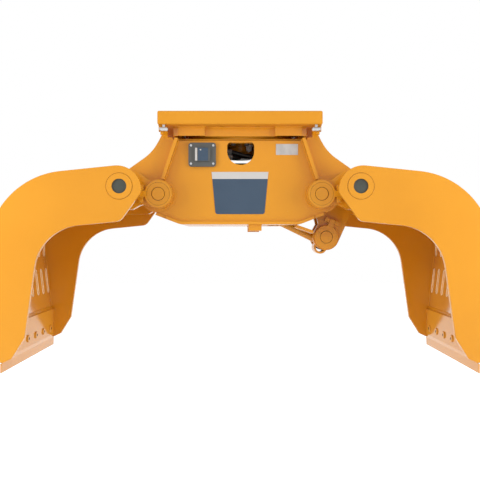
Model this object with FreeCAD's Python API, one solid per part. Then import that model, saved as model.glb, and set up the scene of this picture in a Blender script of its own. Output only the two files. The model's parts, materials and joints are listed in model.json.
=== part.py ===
import os
from math import acos, asin, atan, atan2, cos, degrees, pi, radians, sin, sqrt, tan

import FreeCAD
import Part

V = FreeCAD.Vector

# Sorting and demolition grapple, in millimetres.
# X runs from jaw to jaw, Y along the pivot pins, Z up, origin on the floor under the open jaws.

# Overall sizes
opening = 2200.0
pivot_span = 780.0
pivot_z = 833.0
jaw_width = 1000.0
collar_proud = 3.0

# Jaw outline
back_lean_deg = 6.7
roof_slope_deg = 5.9
belly_slope_deg = 5.7
nose_slope_deg = 54.2
throat_lean_deg = 7.9
back_radius = 374.0
throat_radius = 225.0
nose_radius = 112.0
chin_radius = 36.0
belly_radius = 45.0
ring_from_pivot = 166.0
ring_lift = 28.0
roof_over_ring = 97.0
belly_under_ring = 162.0
nose_reach = 101.0
nose_drop = 28.5
heel_reach = 109.0
heel_height = 162.0
toe_reach = 50.0
toe_height = 67.0
shoe_reach = 9.0
shoe_height = 48.0
side_thick = 25.0

# Jaw shell and its drain slots
shell_inset = 3.0
shell_thick = 20.0
shell_foot_z = 221.0
shell_end_gap = 104.0
slot_width = 30.0
slot_length = 140.0
slot_count = 9
slot_margin = 39.0
slot_rows = 4
slot_row_pitch = 217.0
slot_first_z = 376.0

# Cutting edge
lip_height = 44.0
lip_thick = 4.0
blade_setback = 10.0
blade_thick = 10.0
blade_top_z = 211.0
blade_bolt_count = 6
blade_bolt_margin = 87.5
blade_bolt_z = 106.0
blade_bolt_head = 19.0
blade_bolt_tall = 7.0
blade_bolt_shank = 14.0
bevel_rise = 20.0
base_overlap = 8.0
base_foot_rise = 12.0

# Cross tube and its plugs
tube_radius = 57.0
tube_bore = 34.0
plug_depth = 24.0
plug_recess = 9.0

# Arms, pivot pins and keepers
arm_hub_radius = 70.0
arm_inner_y = 295.0
arm_thick = 55.0
pin_radius = 30.0
pin_disc_radius = 66.0
pin_disc_thick = 24.0
pin_proud = 4.0
rim_chamfer = 2.0
flag_width = 30.0
flag_reach = 96.0
keeper_size = 26.0
keeper_gap = 1.0

# Outer arm outline: runs back from the pivot, heights over and drops under it
hub_blend = 4.0
arm_crown_run = 42.0
arm_crown_rise = 62.0
arm_shoulder_run = 104.0
arm_roof_gap = 14.0
arm_shell_overlap = 8.0
arm_roof_run = 140.0
arm_root_tall = 50.0
arm_root_drop = 76.0
arm_belly_run = 124.0
arm_belly_drop = 73.0
arm_waist_run = 78.0
arm_waist_drop = 47.0
arm_chin_run = 50.0
arm_chin_drop = 58.0
arm_crown_radius = 50.0
arm_fair_radius = 40.0
arm_small_radius = 20.0

# Inner arm outline, from the hub to the cross tube
neck_inset = 20.0
neck_over_ring = 44.0
neck_under_ring = 52.0

# Inner lugs for the cylinders and the tie rod
lug_radius = 130.0
lug_start_deg = 59.4
lug_eye = 44.0
lug_thick = 27.0
cylinder_y = 150.0
eye_width = 50.0
eye_gap = 3.0
inner_hub_radius = 60.0
spacer_radius = 50.0
spacer_gap = 3.0
cylinder_pin_radius = 25.0
tie_eye_width = 120.0
tie_side_gap = 5.0
tie_low_x = 50.0
tie_low_drop = 205.0
tie_low_eye = 67.0
tie_neck_half = 22.0
tie_disc_radius = 60.0
tie_disc_thick = 20.0
tie_high_radius = 210.0
tie_high_deg = 20.35
tie_high_eye = 45.0
tie_flag_deg = 111.0
tie_flag_reach = 96.0
tie_keeper_size = 22.0
tie_pin_proud = 2.0
tie_pin_radius = 20.0
tie_tube_radius = 20.0
tie_slot_half = 29.0
tie_slot_wall = 10.0
tie_slot_clear = 3.5
eye_trim = 2.0

# Cylinders
barrel_radius = 55.0
rod_radius = 35.0
barrel_wall = 12.0
barrel_setback = 100.0
barrel_cap = 30.0
piston_length = 50.0
eye_setback = 75.0
neck_half = 30.0
port_boss = 14.0
port_run = 45.0
piston_gap = 6.0
gland_length = 46.0
gland_flange = 12.0
rod_clear = 3.0

# Housing plates
plate_inner_y = 270.0
plate_thick = 20.0
plate_top_z = 1096.0
deck_thick = 14.0
deck_sink = 6.0
crest_rise = 16.0
crest_long = 65.0
crest_run = 10.0
crest_radius = 4.0
peak_rise = 38.0
peak_gap = 4.0
peak_least = 10.0
wing_top_out = 5.0
wing_slope_deg = 64.0
horn_slope_deg = 35.3
wing_bend_out = 30.7
wing_radius = 225.0
horn_over_ring = 16.0
horn_under = 59.0
ear_radius = 83.0
ear_ease = 6.0
horn_root_run = 21.0
horn_root_rise = 37.0
horn_root_radius = 30.0
horn_throat_run = 41.0
horn_throat_radius = 14.0
keel_z = 703.0
keel_bend_in = 102.0
keel_radius = 60.0
keel_rise_deg = 20.9
keel_tip_out = 16.0
keel_thick = 14.0
keel_proud = 14.0
keel_tip_proud = 4.0
keel_wide_in = 30.0
end_thick = 12.0
stop_gap = 0.4
stop_inner_y = 215.0
stop_width = 45.0
stop_run_back = 12.0
stop_run_in = 20.0
boss_thick = 4.5
running_gap = 0.05
face_gap = 0.5
bush_radius = 42.0
window_x = 3.5
window_width = 131.0
window_top_z = 1090.0
window_bottom_z = 979.0
window_corner = 20.0
rib_thick = 16.0
rib_proud = 50.0
rib_top_in = 84.0
rib_top_z = 1105.0
rib_foot_in = 17.0
rib_hub_gap = 5.0
tie_gate_half = 120.0
tie_gate_x = 145.0
tie_slit_half = 42.0
tie_slit_x = 80.0
arm_gate_in = 12.0
arm_gate_gap = 6.0
guard_thick = 14.0
guard_gap = 2.0
guard_start_in = 116.0
guard_reach = 90.0
guard_slope_deg = 19.0

# Slewing head
top_rim = 69.0
top_z = 1161.5
top_thick = 64.0
top_chamfer = 5.0
adapter_offset = 7.0
adapter_count = 12
adapter_hole = 13.0
skirt_wall = 8.0
skirt_height = 45.5
skirt_recess = 25.0
skirt_recess_half = 170.0
skirt_corner = 25.0
gear_module = 6.0
ring_teeth = 64
pinion_teeth = 16
gear_backlash = 0.5
pressure_deg = 20.0
ring_rim = 38.0
race_wall = 38.0
race_gap = 22.0
tongue_reach = 8.0
tongue_half = 8.0
ring_gap = 0.3
lift_gap = 3.5
deck_bolt_count = 24
deck_bolt_head = 12.0
deck_bolt_tall = 12.0
motor_radius = 54.0
motor_length = 118.0
motor_cap_step = 12.0
motor_cap_tall = 14.0
motor_bore_deep = 40.0
motor_flange = 70.0
motor_flange_thick = 18.0
pinion_shaft = 20.0
pinion_lift = 1.0
swivel_radius = 55.0
swivel_head = 95.0
swivel_drop = 56.0
swivel_gap = 0.3
sleeve_lift = 6.0
swivel_shoulder = 14.0
swivel_recess = 12.0
sleeve_wall = 17.0
port_count = 6
port_radius = 11.0
port_circle = 62.0
port_deep = 24.0
bracket_inset = 4.0
bracket_setback = 26.0
bracket_thick = 22.0
bracket_long = 46.0
bracket_tall = 30.0
bracket_step = 8.0
bracket_foot = 14.0
coupling_radius = 11.0
coupling_round = 8.0
coupling_long = 43.0
coupling_inset = 8.0
coupling_front = 17.0
coupling_drop = 21.0
saddle_half = 6.0

# Fittings on the housing
monitor_x = -183.5
monitor_z = 1027.0
monitor_width = 133.0
monitor_height = 116.0
monitor_depth = 25.0
monitor_rim = 26.0
monitor_corner = 14.0
monitor_screw = 5.5
monitor_screw_inset_x = 12.5
monitor_screw_inset_z = 14.0
badge_top_half = 138.0
badge_low_half = 119.0
badge_top_z = 944.0
badge_split_z = 910.0
badge_low_z = 739.0
badge_thick = 2.0
badge_corner = 12.0
rating_x = 228.5
rating_z = 1053.5
rating_width = 107.0
rating_height = 53.0
rating_thick = 1.5
foot_x = 73.5
foot_width = 63.0
foot_height = 31.0
foot_depth = 60.0
valve_width = 112.0
valve_height = 62.0
valve_depth = 110.0
valve_x = -132.0
valve_stud = 12.0
valve_stud_long = 22.0
valve_stud_run = 34.0
valve_stud_drop = 38.0
hose_radius = 15.0
feed_run = 34.0
feed_drop = 34.0
feed_step = 12.0

# Derived places
pivot = V(-pivot_span / 2, 0, pivot_z)
ring = V(pivot.x - ring_from_pivot, 0, pivot_z + ring_lift)
tip_x = -opening / 2
wing_top_x = wing_top_out - pivot.x
wing_bend_x = wing_bend_out - pivot.x
horn_tip_x = horn_over_ring - ring.x
keel_half = -pivot.x - keel_bend_in
keel_tip_x = keel_tip_out - pivot.x
keel_wide_x = -pivot.x - keel_wide_in
rib_top_x = -pivot.x - rib_top_in
rib_foot_x = -pivot.x - rib_foot_in
arm_gate_x = -pivot.x - arm_gate_in
guard_start_x = -pivot.x - guard_start_in
crest_in_x = wing_top_x - crest_long
side_outer = jaw_width / 2
side_inner = side_outer - side_thick
plate_outer_y = plate_inner_y + plate_thick
arm_outer_y = arm_inner_y + arm_thick
slot_pitch = 2 * (side_inner - slot_margin) / (slot_count - 1)
blade_bolt_pitch = 2 * (side_inner - blade_bolt_margin) / (blade_bolt_count - 1)
ring_pitch_r = gear_module * ring_teeth / 2
pinion_pitch_r = gear_module * pinion_teeth / 2
pinion_x = ring_pitch_r - pinion_pitch_r
ring_outer = ring_pitch_r + ring_rim
race_outer = ring_outer + race_wall
bolt_circle = (ring_outer + race_outer) / 2
skirt_half = race_outer + race_gap + skirt_wall + skirt_recess
skirt_sweep = sqrt(skirt_half ** 2 + (skirt_half - skirt_corner) ** 2)
peak_in_x = sqrt((skirt_sweep + peak_gap) ** 2 - plate_inner_y ** 2)
top_half = skirt_half + top_rim
adapter_circle = skirt_half + adapter_offset
deck_z = plate_top_z - deck_sink
deck_top = deck_z + deck_thick
swivel_bottom_z = deck_z - swivel_drop
back_dir = V(-sin(radians(back_lean_deg)), 0, cos(radians(back_lean_deg)))
roof_dir = V(cos(radians(roof_slope_deg)), 0, sin(radians(roof_slope_deg)))


# Geometry helpers

def cross(p, d, q, e):
    # Meeting point of two lines in the XZ plane, each given by a point and a direction.
    det = d.x * e.z - d.z * e.x
    t = ((q.x - p.x) * e.z - (q.z - p.z) * e.x) / det
    return V(p.x + t * d.x, 0, p.z + t * d.z)


def heading(deg):
    return V(cos(radians(deg)), 0, sin(radians(deg)))


def outline(corners):
    # Closed XZ face from corners (point, radius), each corner rounded by a tangent arc.
    edges = []
    spans = []
    n = len(corners)
    places = [p for p, r in corners]
    halves = [(places[i - 1] - places[i]).getAngle(places[(i + 1) % n] - places[i]) / 2 for i in range(n)]
    reaches = [max(0.0, corners[i][1]) / tan(halves[i]) for i in range(n)]
    for i in range(n):
        follow = (i + 1) % n
        room = (places[follow] - places[i]).Length
        asked = reaches[i] + reaches[follow]
        if asked > room:
            reaches[i] *= room / asked
            reaches[follow] *= room / asked
    for i in range(n):
        p = places[i]
        if reaches[i] < 1e-6:
            spans.append((p, None, p))
            continue
        before = (places[i - 1] - p).normalize()
        after = (places[(i + 1) % n] - p).normalize()
        radius = reaches[i] * tan(halves[i])
        middle = (before + after).normalize() * (radius / sin(halves[i]) - radius)
        spans.append((p + before * reaches[i], p + middle, p + after * reaches[i]))
    for i in range(n):
        start, mid, end = spans[i]
        if mid is not None:
            edges.append(Part.Arc(start, mid, end).toShape())
        follow = spans[(i + 1) % n][0]
        if (follow - end).Length > 1e-6:
            edges.append(Part.makeLine(end, follow))
    return Part.Face(Part.Wire(edges))


def slab(face, y_low, y_high):
    # Extrudes an XZ face from y_low to y_high.
    moved = face.copy()
    moved.translate(V(0, y_low, 0))
    return moved.extrude(V(0, y_high - y_low, 0))


def rod_y(radius, y_low, y_high, at):
    return Part.makeCylinder(radius, y_high - y_low, V(at.x, y_low, at.z), V(0, 1, 0))


def rod_z(radius, z_low, z_high, x=0.0, y=0.0):
    return Part.makeCylinder(radius, z_high - z_low, V(x, y, z_low), V(0, 0, 1))


def block(x_low, x_high, y_low, y_high, z_low, z_high):
    return Part.makeBox(x_high - x_low, y_high - y_low, z_high - z_low, V(x_low, y_low, z_low))


def beam(start, end, half, y_low, y_high):
    # Straight bar in the XZ plane with half its width on each side of the line.
    along = (end - start).normalize()
    side = V(-along.z, 0, along.x) * half
    face = outline([(start + side, 0), (end + side, 0), (end - side, 0), (start - side, 0)])
    return slab(face, y_low, y_high)


def fuse(shapes):
    joined = shapes[0]
    if len(shapes) > 1:
        joined = shapes[0].multiFuse(shapes[1:])
    return joined.removeSplitter()


def cut(shape, tools):
    return shape.cut(tools)


def swung(shape, centre, deg):
    # Copy turned in the XZ plane, positive from +X towards +Z.
    turned = shape.copy()
    turned.rotate(V(centre.x, 0, centre.z), V(0, -1, 0), deg)
    return turned


def flip_x(shape):
    return shape.mirror(V(0, 0, 0), V(1, 0, 0))


def flip_y(shape):
    return shape.mirror(V(0, 0, 0), V(0, 1, 0))


def both_y(shapes):
    return shapes + [flip_y(s) for s in shapes]


def flip(p):
    return V(-p.x, p.y, p.z)


def band(start, corner, end, radius, inset, thick):
    # Plate that follows a bent line at a given depth on its right-hand side.
    first = (corner - start).normalize()
    second = (end - corner).normalize()
    chain = []
    for depth in (inset, inset + thick):
        a = V(first.z, 0, -first.x) * depth
        b = V(second.z, 0, -second.x) * depth
        bend = cross(start + a, first, end + b, second)
        turn = first.x * second.z - first.z * second.x
        bend_radius = radius - depth if turn < 0 else radius + depth
        chain.append([(start + a, 0), (bend, bend_radius), (end + b, 0)])
    return outline(chain[0] + chain[1][::-1])


# Jaw outline lines
back_foot = V(tip_x, 0, 0)
roof_at = V(ring.x, 0, ring.z + roof_over_ring)
back_corner = cross(back_foot, back_dir, roof_at, roof_dir)


def side_face():
    up = V(0, 0, 1)
    nose_x = ring.x + nose_reach
    nose = cross(V(nose_x, 0, 0), up, roof_at, roof_dir)
    chin = V(nose_x, 0, ring.z - nose_drop)
    belly_dir = heading(belly_slope_deg)
    belly_at = V(ring.x, 0, ring.z - belly_under_ring)
    belly = cross(chin, heading(nose_slope_deg), belly_at, belly_dir)
    heel = V(tip_x + heel_reach, 0, heel_height)
    throat = cross(heel, heading(90 - throat_lean_deg), belly_at, belly_dir)
    toe = V(tip_x + toe_reach, 0, toe_height)
    shoe = V(tip_x + shoe_reach, 0, shoe_height)
    back_low = cross(back_foot, back_dir, V(0, 0, shoe_height), V(1, 0, 0))
    return outline([
        (back_low, 0), (back_corner, back_radius), (nose, nose_radius), (chin, chin_radius),
        (belly, belly_radius), (throat, throat_radius), (heel, 6), (toe, 4), (shoe, 0)])


def side_plate(y_low, y_high):
    plate = slab(side_face(), y_low, y_high)
    return cut(plate, [rod_y(tube_radius, y_low - 1, y_high + 1, ring)])


def drain_slot(y):
    # One slot cutter, upright, its length along Z and its depth along X.
    deep = 4 * shell_thick
    straight = slot_length - slot_width
    parts = [block(-deep, deep, y - slot_width / 2, y + slot_width / 2, -straight / 2, straight / 2)]
    for z in (-straight / 2, straight / 2):
        parts.append(Part.makeCylinder(slot_width / 2, 2 * deep, V(-deep, y, z), V(1, 0, 0)))
    return fuse(parts)


def shell():
    foot = cross(back_foot, back_dir, V(0, 0, shell_foot_z), V(1, 0, 0))
    end = cross(roof_at, roof_dir, V(ring.x - shell_end_gap, 0, 0), V(0, 0, 1))
    body = slab(band(foot, back_corner, end, back_radius, shell_inset, shell_thick), -side_inner, side_inner)
    half = (180 - degrees(back_dir.getAngle(roof_dir))) / 2
    reach = back_radius / tan(radians(half))
    tangent = back_corner - back_dir * reach
    centre = tangent + V(back_dir.z, 0, -back_dir.x) * back_radius
    first = cross(back_foot, back_dir, V(0, 0, slot_first_z), V(1, 0, 0))
    cutters = []
    across = [(i - (slot_count - 1) / 2) * slot_pitch for i in range(slot_count)]
    for row in range(slot_rows):
        run = row * slot_row_pitch
        flat = (tangent - first).Length
        for y in across:
            tool = drain_slot(y)
            tool.rotate(V(0, 0, 0), V(0, -1, 0), back_lean_deg)
            spot = first + back_dir * min(run, flat)
            tool.translate(spot)
            if run > flat:
                tool = swung(tool, centre, -degrees((run - flat) / back_radius))
            cutters.append(tool)
    return cut(body, cutters)


blade_face_x = tip_x + blade_setback
blade_back_x = blade_face_x - blade_thick


def bolt_places():
    middle = (blade_bolt_count - 1) / 2
    return [(i - middle) * blade_bolt_pitch for i in range(blade_bolt_count)]


def blade_base():
    foot = cross(back_foot, back_dir, V(0, 0, shell_foot_z), V(1, 0, 0))
    top = foot + V(shell_inset, 0, 0)
    inner_top = top + V(shell_thick, 0, 0)
    low_z = shoe_height + base_foot_rise
    low = cross(back_foot + V(1, 0, 0), back_dir, V(0, 0, low_z), V(1, 0, 0))
    face = outline([
        (top, 0), (inner_top, 0), (V(blade_back_x, 0, blade_top_z + base_overlap), 0),
        (V(blade_back_x, 0, low_z), 0), (low, 0)])
    deep = 4 * shell_thick
    holes = [Part.makeCylinder(blade_bolt_head / 2, deep, V(blade_face_x - deep, y, blade_bolt_z), V(1, 0, 0))
             for y in bolt_places()]
    return cut(slab(face, -side_inner, side_inner), holes)


def wear_blade():
    bevel_z = lip_height + bevel_rise
    plate = slab(outline([
        (V(blade_back_x, 0, blade_top_z), 0), (V(blade_face_x, 0, blade_top_z), 0),
        (V(blade_face_x, 0, bevel_z), 0), (V(tip_x + lip_thick, 0, lip_height), 0),
        (V(tip_x - lip_thick / 2, 0, lip_height), 0), (V(blade_back_x, 0, lip_height + base_overlap), 0)]),
        -side_inner, side_inner)
    lip = slab(outline([
        (V(tip_x + lip_thick, 0, lip_height), 0), (V(tip_x + lip_thick / 2, 0, 0), 0),
        (V(tip_x - lip_thick / 2, 0, 0), 0), (V(tip_x - lip_thick / 2, 0, lip_height), 0)]),
        -side_outer, side_outer)
    holes = [Part.makeCylinder(blade_bolt_head / 2, 4 * blade_thick,
                               V(blade_back_x - blade_thick, y, blade_bolt_z), V(1, 0, 0))
             for y in bolt_places()]
    return cut(fuse([plate, lip]), holes)


def blade_bolts():
    # Domed heads on the wear plate, shanks through it into the edge behind.
    bolts = []
    for y in bolt_places():
        at = V(blade_face_x, y, blade_bolt_z)
        head = Part.makeCylinder(blade_bolt_head, blade_bolt_tall, at, V(1, 0, 0))
        rim = [e for e in head.Edges if abs(e.BoundBox.XMin - blade_face_x - blade_bolt_tall) < 0.01]
        head = head.makeFillet(blade_bolt_tall * 0.6, rim)
        stem_at = at - V(blade_bolt_shank, 0, 0)
        stem = Part.makeCylinder(blade_bolt_head / 2, blade_bolt_shank, stem_at, V(1, 0, 0))
        bolts.append(fuse([head, stem]))
    return Part.makeCompound(bolts)


def cross_tube():
    reach = side_outer + collar_proud
    tube = rod_y(tube_radius, -reach, reach, ring)
    return cut(tube, [rod_y(tube_bore, -reach - 1, reach + 1, ring)])


def tube_plugs():
    outer = side_outer + collar_proud - plug_recess
    plug = rod_y(tube_bore, -outer, -outer + plug_depth, ring)
    return Part.makeCompound(both_y([plug]))


def outer_arms():
    # Thick arm outside each housing plate, from the pivot hub over the cross tube to the roof.
    p = pivot
    roof_in = shell_inset + shell_thick
    roof_line = roof_at - V(0, 0, roof_in / cos(radians(roof_slope_deg)))
    step_x = ring.x - shell_end_gap + arm_shell_overlap
    high_z = ring.z + roof_over_ring - arm_roof_gap
    roof_near = cross(roof_line, roof_dir, V(step_x, 0, 0), V(0, 0, 1))
    roof_far = cross(roof_line, roof_dir, V(step_x - arm_roof_run, 0, 0), V(0, 0, 1))
    hub = rod_y(arm_hub_radius, arm_inner_y, arm_outer_y, p)
    hub_edge = V(0, 0, arm_hub_radius - hub_blend)
    face = outline([
        (p + hub_edge, 0), (p + V(-arm_crown_run, 0, arm_crown_rise), arm_crown_radius),
        (V(p.x - arm_shoulder_run, 0, high_z), arm_fair_radius), (V(step_x, 0, high_z), 0),
        (roof_near, 0), (roof_far, 0), (roof_far - V(0, 0, arm_root_tall), arm_small_radius),
        (V(step_x, 0, p.z - arm_root_drop), arm_fair_radius),
        (p - V(arm_belly_run, 0, arm_belly_drop), arm_small_radius / 2),
        (p - V(arm_waist_run, 0, arm_waist_drop), arm_fair_radius),
        (p - V(arm_chin_run, 0, arm_chin_drop), arm_small_radius), (p - hub_edge, 0)])
    arm = fuse([hub, slab(face, arm_inner_y, arm_outer_y)])
    arm = cut(arm, [rod_y(tube_radius, 0, side_outer, ring), rod_y(pin_radius, 0, side_outer, p)])
    return Part.makeCompound(both_y([arm]))


def disc_with_flag(at, radius, deg, y_face, thick, reach, width):
    # Flat retaining disc with one straight flag, its back at y_face, towards -Y.
    disc = rod_y(radius, y_face - thick, y_face, at)
    flag = beam(at, at + heading(deg) * reach, width / 2, y_face - thick, y_face)
    body = fuse([disc, flag])
    rim = [e for e in body.Edges
           if abs(e.BoundBox.YMax - y_face + thick) < 0.01 and e.Length > radius]
    return body.makeChamfer(rim_chamfer, rim[:1]) if rim else body


def keeper_blocks(at, deg, y_face, thick, reach, width, size):
    # Two blocks that trap the flag between them.
    along = heading(deg)
    side = V(-along.z, 0, along.x)
    blocks = []
    for way in (-1, 1):
        low = at + along * (reach - size) + side * (way * (width / 2 + keeper_gap + size / 2))
        blocks.append(beam(low, low + along * size, size / 2, y_face - thick, y_face))
    return blocks


def pivot_pin():
    front = -arm_outer_y
    disc = disc_with_flag(pivot, pin_disc_radius, 180, front, pin_disc_thick, flag_reach, flag_width)
    cap = rod_y(pin_disc_radius, arm_outer_y, arm_outer_y + pin_disc_thick, pivot)
    end = arm_outer_y + pin_disc_thick + pin_proud
    shaft = rod_y(pin_radius, -end, end, pivot)
    rims = [e for e in shaft.Edges if abs(abs(e.BoundBox.YMax) - end) < 0.01 and e.BoundBox.YLength < 0.01]
    return fuse([disc, shaft.makeChamfer(rim_chamfer, rims), cap])


def pivot_keepers():
    return Part.makeCompound(keeper_blocks(
        pivot, 180, -arm_outer_y, pin_disc_thick, flag_reach, flag_width, keeper_size))


lug_inner_y = cylinder_y - eye_width / 2 - eye_gap
lug_outer_y = cylinder_y + eye_width / 2 + eye_gap
lug_spans = [(lug_inner_y - lug_thick, lug_inner_y), (lug_outer_y, lug_outer_y + lug_thick)]
cylinder_eye = pivot + heading(lug_start_deg) * lug_radius
tie_lug_inner_y = tie_eye_width / 2 + tie_side_gap
tie_lug_outer_y = lug_spans[0][0]


def tie_eye(low):
    # Place of the tie rod's eye on this jaw, drawn on the left.
    if low:
        return pivot + V(-tie_low_x, 0, -tie_low_drop)
    return pivot + heading(tie_high_deg) * tie_high_radius


def inner_arms(low):
    # Plates inside the housing on one spacer tube, with lugs for the cylinders and the tie rod.
    hub_edge = V(0, 0, inner_hub_radius - hub_blend)
    neck = outline([
        (pivot + hub_edge, 0), (ring + V(neck_inset, 0, neck_over_ring), 0), (ring, 0),
        (ring + V(neck_inset, 0, -neck_under_ring), 0), (pivot - hub_edge, 0)])
    plates = [fuse([
        slab(neck, y_low, y_high), rod_y(inner_hub_radius, y_low, y_high, pivot),
        rod_y(lug_eye, y_low, y_high, cylinder_eye), beam(pivot, cylinder_eye, lug_eye, y_low, y_high)])
        for y_low, y_high in lug_spans]
    eye = tie_eye(low)
    radius = tie_low_eye if low else tie_high_eye
    lug = [
        rod_y(radius, tie_lug_inner_y, tie_lug_outer_y, eye),
        rod_y(inner_hub_radius, tie_lug_inner_y, tie_lug_outer_y, pivot)]
    if low:
        lug += [beam(pivot, eye, tie_neck_half, tie_lug_inner_y, tie_lug_outer_y),
                tangent_web(ring, tube_radius, eye, radius, tie_lug_inner_y, tie_lug_outer_y)]
    else:
        lug.append(tangent_web(pivot, inner_hub_radius, eye, radius, tie_lug_inner_y, tie_lug_outer_y))
    plates.append(fuse(lug))
    reach = side_outer
    bores = [
        rod_y(tube_radius, -reach, reach, ring), rod_y(spacer_radius, -reach, reach, pivot),
        rod_y(cylinder_pin_radius, -reach, reach, cylinder_eye),
        rod_y(pin_radius if low else tie_pin_radius, -reach, reach, eye)]
    half = plate_inner_y - spacer_gap
    spacer = cut(rod_y(spacer_radius, -half, half, pivot), [rod_y(pin_radius, -reach, reach, pivot)])
    return Part.makeCompound([spacer] + both_y([cut(plate, bores) for plate in plates]))


def tangent_web(a, ra, b, rb, y_low, y_high):
    # Flat web between two round eyes, along their outer tangents.
    span = b - a
    lean = asin((ra - rb) / span.Length)
    base = atan2(span.z, span.x)
    points = []
    for way in (1, -1):
        normal = base + way * (pi / 2 - lean)
        n = V(cos(normal), 0, sin(normal))
        points.append((a + n * ra, b + n * rb))
    face = outline([(points[0][0], 0), (points[0][1], 0), (points[1][1], 0), (points[1][0], 0)])
    return slab(face, y_low, y_high)


def inner_pins(low):
    # Pins of both cylinder eyes and of the tie rod's eye.
    low_y, high_y = lug_spans[0][0], lug_spans[1][1]
    pins = both_y([rod_y(cylinder_pin_radius, low_y, high_y, cylinder_eye)])
    eye = tie_eye(low)
    if not low:
        return Part.makeCompound(pins + [rod_y(tie_pin_radius, -tie_lug_outer_y, tie_lug_outer_y, eye)])
    face = tie_lug_outer_y + tie_disc_thick
    end = face + tie_pin_proud
    core = rod_y(tie_pin_radius, -tie_lug_inner_y, tie_lug_inner_y, eye)
    shaft = fuse([core] + both_y([rod_y(pin_radius, tie_lug_inner_y, end, eye)]))
    disc = disc_with_flag(eye, tie_disc_radius, tie_flag_deg, -tie_lug_outer_y, tie_disc_thick,
                          tie_flag_reach, flag_width)
    discs = [cut(d, [shaft]) for d in (disc, rod_y(tie_disc_radius, tie_lug_outer_y, face, eye))]
    blocks = keeper_blocks(eye, tie_flag_deg, -tie_lug_outer_y, tie_disc_thick, tie_flag_reach, flag_width,
                           tie_keeper_size)
    return Part.makeCompound(pins + [shaft] + discs + blocks)


# Cylinders, drawn from the left eye to the right eye at rest

bore_radius = barrel_radius - barrel_wall


def eye_neck(x_low, x_high, y):
    # Flat neck between a cylinder's round part and its eye.
    z = cylinder_eye.z
    return block(x_low, x_high, y - eye_width / 2, y + eye_width / 2, z - neck_half, z + neck_half)


def barrels():
    left = cylinder_eye
    start = left.x + barrel_setback
    end = -start
    shapes = []
    for side in (-1, 1):
        y = side * cylinder_y
        tube = Part.makeCylinder(barrel_radius, end - start, V(start, y, left.z), V(1, 0, 0))
        bore = Part.makeCylinder(bore_radius, end - start, V(start + barrel_cap, y, left.z), V(1, 0, 0))
        eye = rod_y(lug_eye - eye_trim, y - eye_width / 2, y + eye_width / 2, left)
        neck = eye_neck(left.x, start + 1, y)
        port = rod_z(port_boss, left.z + barrel_radius - barrel_wall / 2, left.z + barrel_radius + port_boss,
                     start + port_run, y)
        body = fuse([tube.cut(bore), eye, neck, port])
        shapes.append(body.cut(rod_y(cylinder_pin_radius + running_gap, -side_outer, side_outer, left)))
    return Part.makeCompound(shapes)


def glands():
    left = cylinder_eye
    end = -(left.x + barrel_setback)
    shapes = []
    for side in (-1, 1):
        y = side * cylinder_y
        nose = Part.makeCylinder(barrel_radius, gland_flange, V(end, y, left.z), V(1, 0, 0))
        plug = Part.makeCylinder(bore_radius, gland_length, V(end - gland_length, y, left.z), V(1, 0, 0))
        hole = Part.makeCylinder(
            rod_radius + running_gap, 4 * gland_length, V(end - 2 * gland_length, y, left.z), V(1, 0, 0))
        shapes.append(fuse([nose, plug]).cut(hole))
    return Part.makeCompound(shapes)


def cylinder_rods():
    # Chromed rods with pistons, each ending in an eye with play at the right-hand lug.
    left = cylinder_eye
    right = flip(left)
    start = left.x + barrel_setback + barrel_cap + piston_gap
    shapes = []
    for side in (-1, 1):
        y = side * cylinder_y
        piston = Part.makeCylinder(bore_radius - running_gap, piston_length, V(start, y, left.z), V(1, 0, 0))
        shaft_end = right.x - eye_setback
        shaft = Part.makeCylinder(rod_radius, shaft_end - start, V(start, y, left.z), V(1, 0, 0))
        eye = rod_y(lug_eye, y - eye_width / 2, y + eye_width / 2, right)
        neck = eye_neck(shaft_end, right.x, y)
        body = fuse([piston, shaft, eye, neck])
        shapes.append(body.cut(rod_y(cylinder_pin_radius + rod_clear, -side_outer, side_outer, right)))
    return Part.makeCompound(shapes)


def tie_rod():
    # Tie rod from the left jaw's upper lug to a slotted eye on the right jaw's lower lug.
    # With the jaws open the right-hand pin rests at the upper end of the slot.
    left = tie_eye(False)
    span = flip(tie_eye(True)) - left
    length = sqrt(span.Length ** 2 - tie_slot_half ** 2)
    tilt = degrees(atan2(span.z, span.x) - atan(tie_slot_half / length))
    far = left + heading(tilt) * length
    across = heading(tilt + 90)
    half = tie_eye_width / 2
    slot_r = tie_pin_radius + tie_slot_clear
    outer_r = slot_r + tie_slot_wall
    a = far + across * tie_slot_half
    b = far - across * tie_slot_half
    solid = fuse([
        rod_y(tie_high_eye - eye_trim, -half, half, left),
        Part.makeCylinder(tie_tube_radius, length, left, heading(tilt)),
        rod_y(outer_r, -half, half, a), rod_y(outer_r, -half, half, b), beam(a, b, outer_r, -half, half)])
    slot = fuse([rod_y(slot_r, -half - 1, half + 1, a), rod_y(slot_r, -half - 1, half + 1, b),
                 beam(a, b, slot_r, -half - 1, half + 1)])
    return cut(solid, [slot, rod_y(tie_pin_radius + running_gap, -half - 1, half + 1, left)])


# Housing outline on the left, from the deck down the wing to the keel

wing_dir = heading(wing_slope_deg)
horn_dir = heading(horn_slope_deg)
wing_top = V(-wing_top_x, 0, plate_top_z)
wing_crest = wing_top + wing_dir * (crest_rise / wing_dir.z)
wing_peak = wing_crest + wing_dir * (peak_rise / wing_dir.z)
wing_bend = cross(wing_top, wing_dir, V(-wing_bend_x, 0, 0), V(0, 0, 1))
horn_tip = cross(wing_bend, horn_dir, V(-horn_tip_x, 0, 0), V(0, 0, 1))
horn_under_z = ring.z + horn_under


def mirrored(corners):
    return corners + [(flip(p), r) for p, r in corners[::-1]]


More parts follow.
